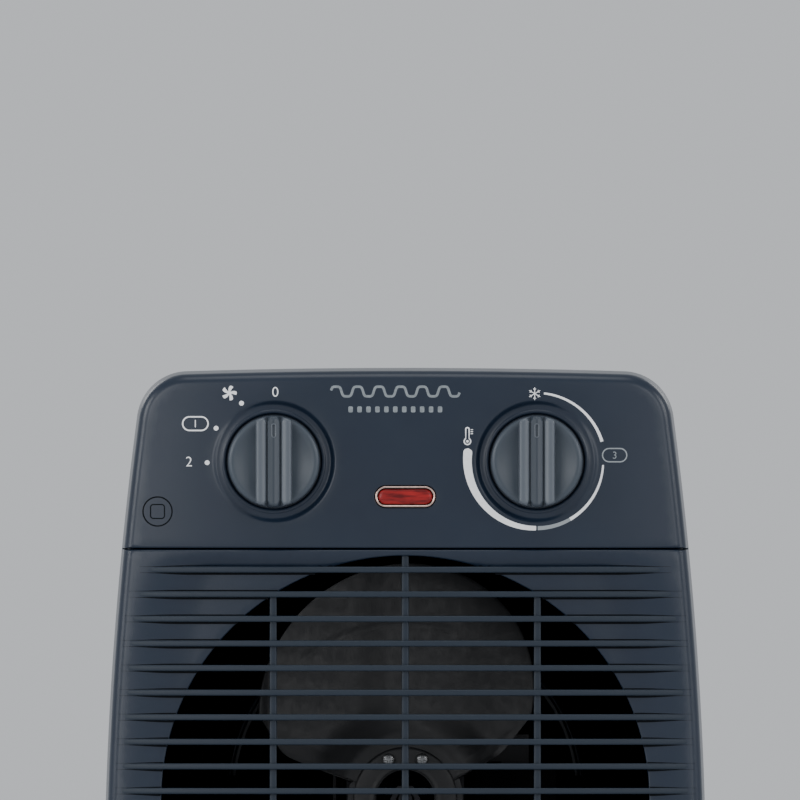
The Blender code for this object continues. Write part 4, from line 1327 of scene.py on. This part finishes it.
def rear_housing():
    """The rear moulding with its grip pocket, inlet, screw bores and cord hole."""
    skin = Skin()
    skin.rings(rear_rings())
    count = len(case_outline(0.0))
    outer = list(range(len(skin.points) - count, len(skin.points)))
    plunger_opening(skin, count)
    holes = []

    def add_hole(rings):
        edge = len(skin.points)
        last = skin.rings(rings)
        holes.append(list(range(edge, edge + len(rings[0]))))
        return last

    def add_round_hole(centre, radius, steps, rounding, depth, more=()):
        profile = [(grow, -back) for grow, back in lip(rounding, depth)] + list(more)
        add_hole(hole_rings(circle_outline(centre, radius, steps), rear_y, profile))

    def bore_floor(*_):
        return SCREW_SEAT_Y

    skin.cap(add_hole(pocket_rings()))
    add_round_hole((0.0, AXIS_Z), INLET_R, 200, 0.4, 2.4)
    seat = ((0.0, bore_floor), (-SCREW_SEAT_WIDTH, bore_floor))
    for name in CASE_SCREWS:
        add_round_hole(middle(node_box(name)), SCREW_BORE_R, 48, 0.5, 1.0, seat)
    add_round_hole(middle(GLAND), GLAND_NECK_R, 48, 0.3, 2.2)
    patch(skin, outer, holes, rear_y, 2.4)
    # The wall's inside is near black, painted shade for the case's dark inside.
    piece("rear_skin", skin, CASE_PLASTIC, ("rear_housing",), thick=SKIN,
          inner=INNER_BLACK_AND_SHADE)


def rear_guard():
    """The inlet guard: a rim, a row of level slats and an upright bar between them."""
    outer = (GUARD[1][0] - GUARD[0][0]) / 2
    near, far = GUARD[1][1], GUARD[0][1]
    profile = [(GUARD_R, near - 2.6), (GUARD_R, near - 0.9), (GUARD_R + 0.2, near - 0.3)]
    profile += [(GUARD_R + 0.8, near), (outer - 2.2, near), (outer - 1.0, near - 0.4)]
    profile += [(outer - 0.3, near - 1.2), (outer, near - 2.4), (outer, near - 4.6)]
    profile += [(INLET_R - 0.4, near - 4.8), (INLET_R - 0.4, far), (GUARD_R + 1.4, far), (GUARD_R, near - 4.0)]
    rim = turned(profile, (0.0, AXIS_Z), 160, True)
    piece("guard_rim", rim, CASE_PLASTIC, ("rear_guard",), sharp=35)
    slats = Skin()
    pitch, half = 9.0, 2.0
    section = rounded(2 * half, 5.0, 1.0, 4)
    for row in range(-6, 6):
        z = AXIS_Z + pitch * (row + 0.5)
        limit = math.sqrt((GUARD_R + 2.0) ** 2 - (abs(z - AXIS_Z) - half) ** 2)
        slats.solid([[(end * limit, near - 3.4 + v, z + u) for u, v in section] for end in (-1, 1)])
    piece("guard_slats", slats, CASE_PLASTIC, sharp=50)
    section = rounded(4.4, 4.6, 1.0, 4)
    limit = GUARD_R + 0.6
    bar = Skin().solid([[(u, near - 2.9 + v, AXIS_Z + end * limit) for u, v in section] for end in (-1, 1)])
    piece("guard_bar", bar, CASE_PLASTIC, sharp=50)


def cord_gland():
    """The bushing where a mains lead would come out: a flanged rubber ring with a bevelled bore."""
    near, far = GLAND[0][1], GLAND[1][1]
    outer = (GLAND[1][0] - GLAND[0][0]) / 2
    neck = GLAND_NECK_R - 0.4
    profile = [(GLAND_BORE_R, near), (GLAND_BORE_R, far - 1.2), (GLAND_BORE_R + 0.3, far - 0.4)]
    profile += [(GLAND_BORE_R + 1.0, far), (outer - 1.2, far), (outer - 0.35, far - 0.35)]
    profile += [(outer, far - 1.2), (outer, far - 3.0), (neck, far - 3.1), (neck, near)]
    skin = turned(profile, middle(GLAND), 96, True)
    piece("gland_bush", skin, RUBBER, ("cord_gland",), sharp=40)


# ---------------- base


def base():
    """The base plate, its lower edge rounded, on four rubber feet."""
    low, high = BASE
    centre = middle(BASE, 0, 1)
    rings = []
    for inset, z in ((1.6, low[2]), (0.7, low[2] + 0.25), (0.2, low[2] + 0.8), (0.0, low[2] + 1.6),
                     (0.0, high[2])):
        outline = rounded(high[0] - low[0] - 2 * inset, high[1] - low[1] - 2 * inset, 22.0 - inset, 16)
        rings.append([(centre[0] + x, centre[1] + y, z) for x, y in outline])
    piece("base_skin", Skin().solid(rings), BLACK_PLASTIC, ("base_plate",), sharp=35,
          drilled=True)
    for name in ("front_left", "front_right", "rear_left", "rear_right"):
        rubber_foot(name)


def rubber_foot(name):
    """A round foot with a rounded edge and two shallow grooves under it."""
    low, high = node_box("foot_" + name)
    radius = (high[0] - low[0]) / 2
    profile = [(3.0, high[2]), (3.0, 2.6), (radius, 2.6), (radius, 1.3), (radius - 0.3, 0.6)]
    profile += [(radius - 0.9, 0.15), (radius - 1.6, 0.0)]
    for groove in (5.2, 2.6):
        profile += [(groove + 1.0, 0.0), (groove + 0.8, 0.3), (groove + 0.2, 0.3), (groove, 0.0)]
    profile += [(0.4, 0.0)]
    skin = Skin().solid([flat_circle(reach, z, middle((low, high), 0, 1), 72) for reach, z in profile])
    piece("rubber_foot_" + name, skin, RUBBER, ("foot_" + name,), sharp=40)


# ---------------- CAD nodes that show as they are

FINISHES = {
    "steel": STEEL, "laminations": DARK_STEEL, "aluminium": ALUMINIUM, "ceramic": CERAMIC,
    "inner_plastic": INNER_BLACK_AND_SHADE, "switch_plastic": SWITCH_PLASTIC, "neon_glass": RED_LENS,
    "knob_plastic": KNOB_PLASTIC, "body_plastic": CASE_PLASTIC, "fan_metal": FAN_COAT, "rubber": RUBBER,
    "red_lens": RED_LENS, "bezel_metal": BEZEL_METAL, "black_steel": BLACK_STEEL,
    "winding_tape": WINDING_TAPE, "filter_foam": FILTER_FOAM,
}


def finish_nodes():
    """Gives each CAD node that is still shown its finish, and breaks its hard edges."""
    slots = {entry["node"]: entry["material_slot"] for entry in frame["record"]["subparts"]}
    for name, shown in frame["nodes"].items():
        if shown.hide_render:
            continue
        shown.data.materials.clear()
        shown.data.materials.append(FINISHES[slots[name]])
        if "fins" not in name:
            add_bevel(shown, 0.35, 2, 40)


# ---------------- floor, light and camera

FLOOR_R = 6000.0
SKY = (0.9, 0.93, 0.97)
SKY_STRENGTH = 0.66
PAPER = (0.6, 0.61, 0.63)
PAPER_GLOW = 0.08
LIGHT_SIZE = 1.0
# Name, place and height aimed at, in metres, and power in watts.
LIGHTS = (
    ("key_left", (-1.2, -2.2, 0.5), 0.14, 11.5), ("key_right", (1.3, -2.2, 0.6), 0.14, 8.5),
    ("side_left", (-2.2, -0.9, 0.8), 0.14, 19.0), ("side_right", (2.2, -0.8, 0.9), 0.14, 15.0),
    ("top", (0.0, -0.7, 1.9), 0.2, 7.0),
    ("back_left", (-1.2, 1.6, 1.1), 0.14, 9.0), ("back_right", (1.2, 1.6, 1.1), 0.14, 8.0),
)


def studio():
    """A pale floor and sky, and soft lights from the front, the sides, above and behind."""
    floor = Skin()
    floor.rings([flat_circle(radius, 0.0) for radius in (1.0, 300.0, 600.0, 1200.0, 2400.0, FLOOR_R)])
    floor.cap(range(96))
    mesh = new_mesh("studio_floor", floor)
    mesh.shade_smooth()
    paper, tree, shader = new_material("studio_paper", PAPER, 0.9, gloss=0.1)
    cloud = noise(tree, place_on_object(tree), 0.004, 3.0)
    tree.links.new(tint(tree, cloud, [c * 0.99 for c in PAPER], PAPER), shader.inputs["Base Color"])
    shader.inputs["Emission Color"].default_value = (*SKY, 1.0)
    shader.inputs["Emission Strength"].default_value = SKY_STRENGTH * PAPER_GLOW
    mesh.materials.append(paper)
    new_object("studio_floor", mesh)
    world = bpy.context.scene.world or bpy.data.worlds.new("studio")
    bpy.context.scene.world = world
    world.use_nodes = True
    sky = world.node_tree.nodes["Background"]
    sky.inputs["Color"].default_value = (*SKY, 1.0)
    sky.inputs["Strength"].default_value = SKY_STRENGTH
    for name, place, aim_z, power in LIGHTS:
        area_light(name, place, aim_z, power)


def area_light(name, place, aim_z, power):
    lamp = bpy.data.lights.new(name, "AREA")
    lamp.size = LIGHT_SIZE
    lamp.energy = power
    made = new_object(name, lamp)
    made.location = place
    made.rotation_mode = "QUATERNION"
    made.rotation_quaternion = (Vector((0, 0, aim_z)) - Vector(place)).to_track_quat("-Z", "Y")


def camera():
    """A long lens, level, straight in front of the panel; the frame ends just below the fan's axis."""
    view_width, view_height_z, off_centre = 264.0, 229.9, -1.75
    distance, sensor = 12000.0, 36.0
    lens = bpy.data.cameras.new("camera")
    lens.sensor_width = sensor
    lens.lens = sensor * distance / view_width
    lens.clip_start, lens.clip_end = 0.1, 100.0
    made = new_object("camera", lens)
    made.location = (MM * off_centre, MM * (FRONT_Y - distance), MM * view_height_z)
    made.rotation_euler = (math.pi / 2, 0.0, 0.0)
    bpy.context.scene.camera = made


# ---------------- build

front_cover()
control_panel()
dial_marks()
maker_mark()
moulded_ring()
for kind in KNOBS:
    knob(kind)
indicator()
fan()
duct()
rear_housing()
rear_guard()
for screw in CASE_SCREWS:
    screw_head(screw, screw.replace("screw", "case_screw"), "housing", -1, CASE_SCREW, CASE_CROSS)
cord_gland()
base()
finish_nodes()
studio()
camera()
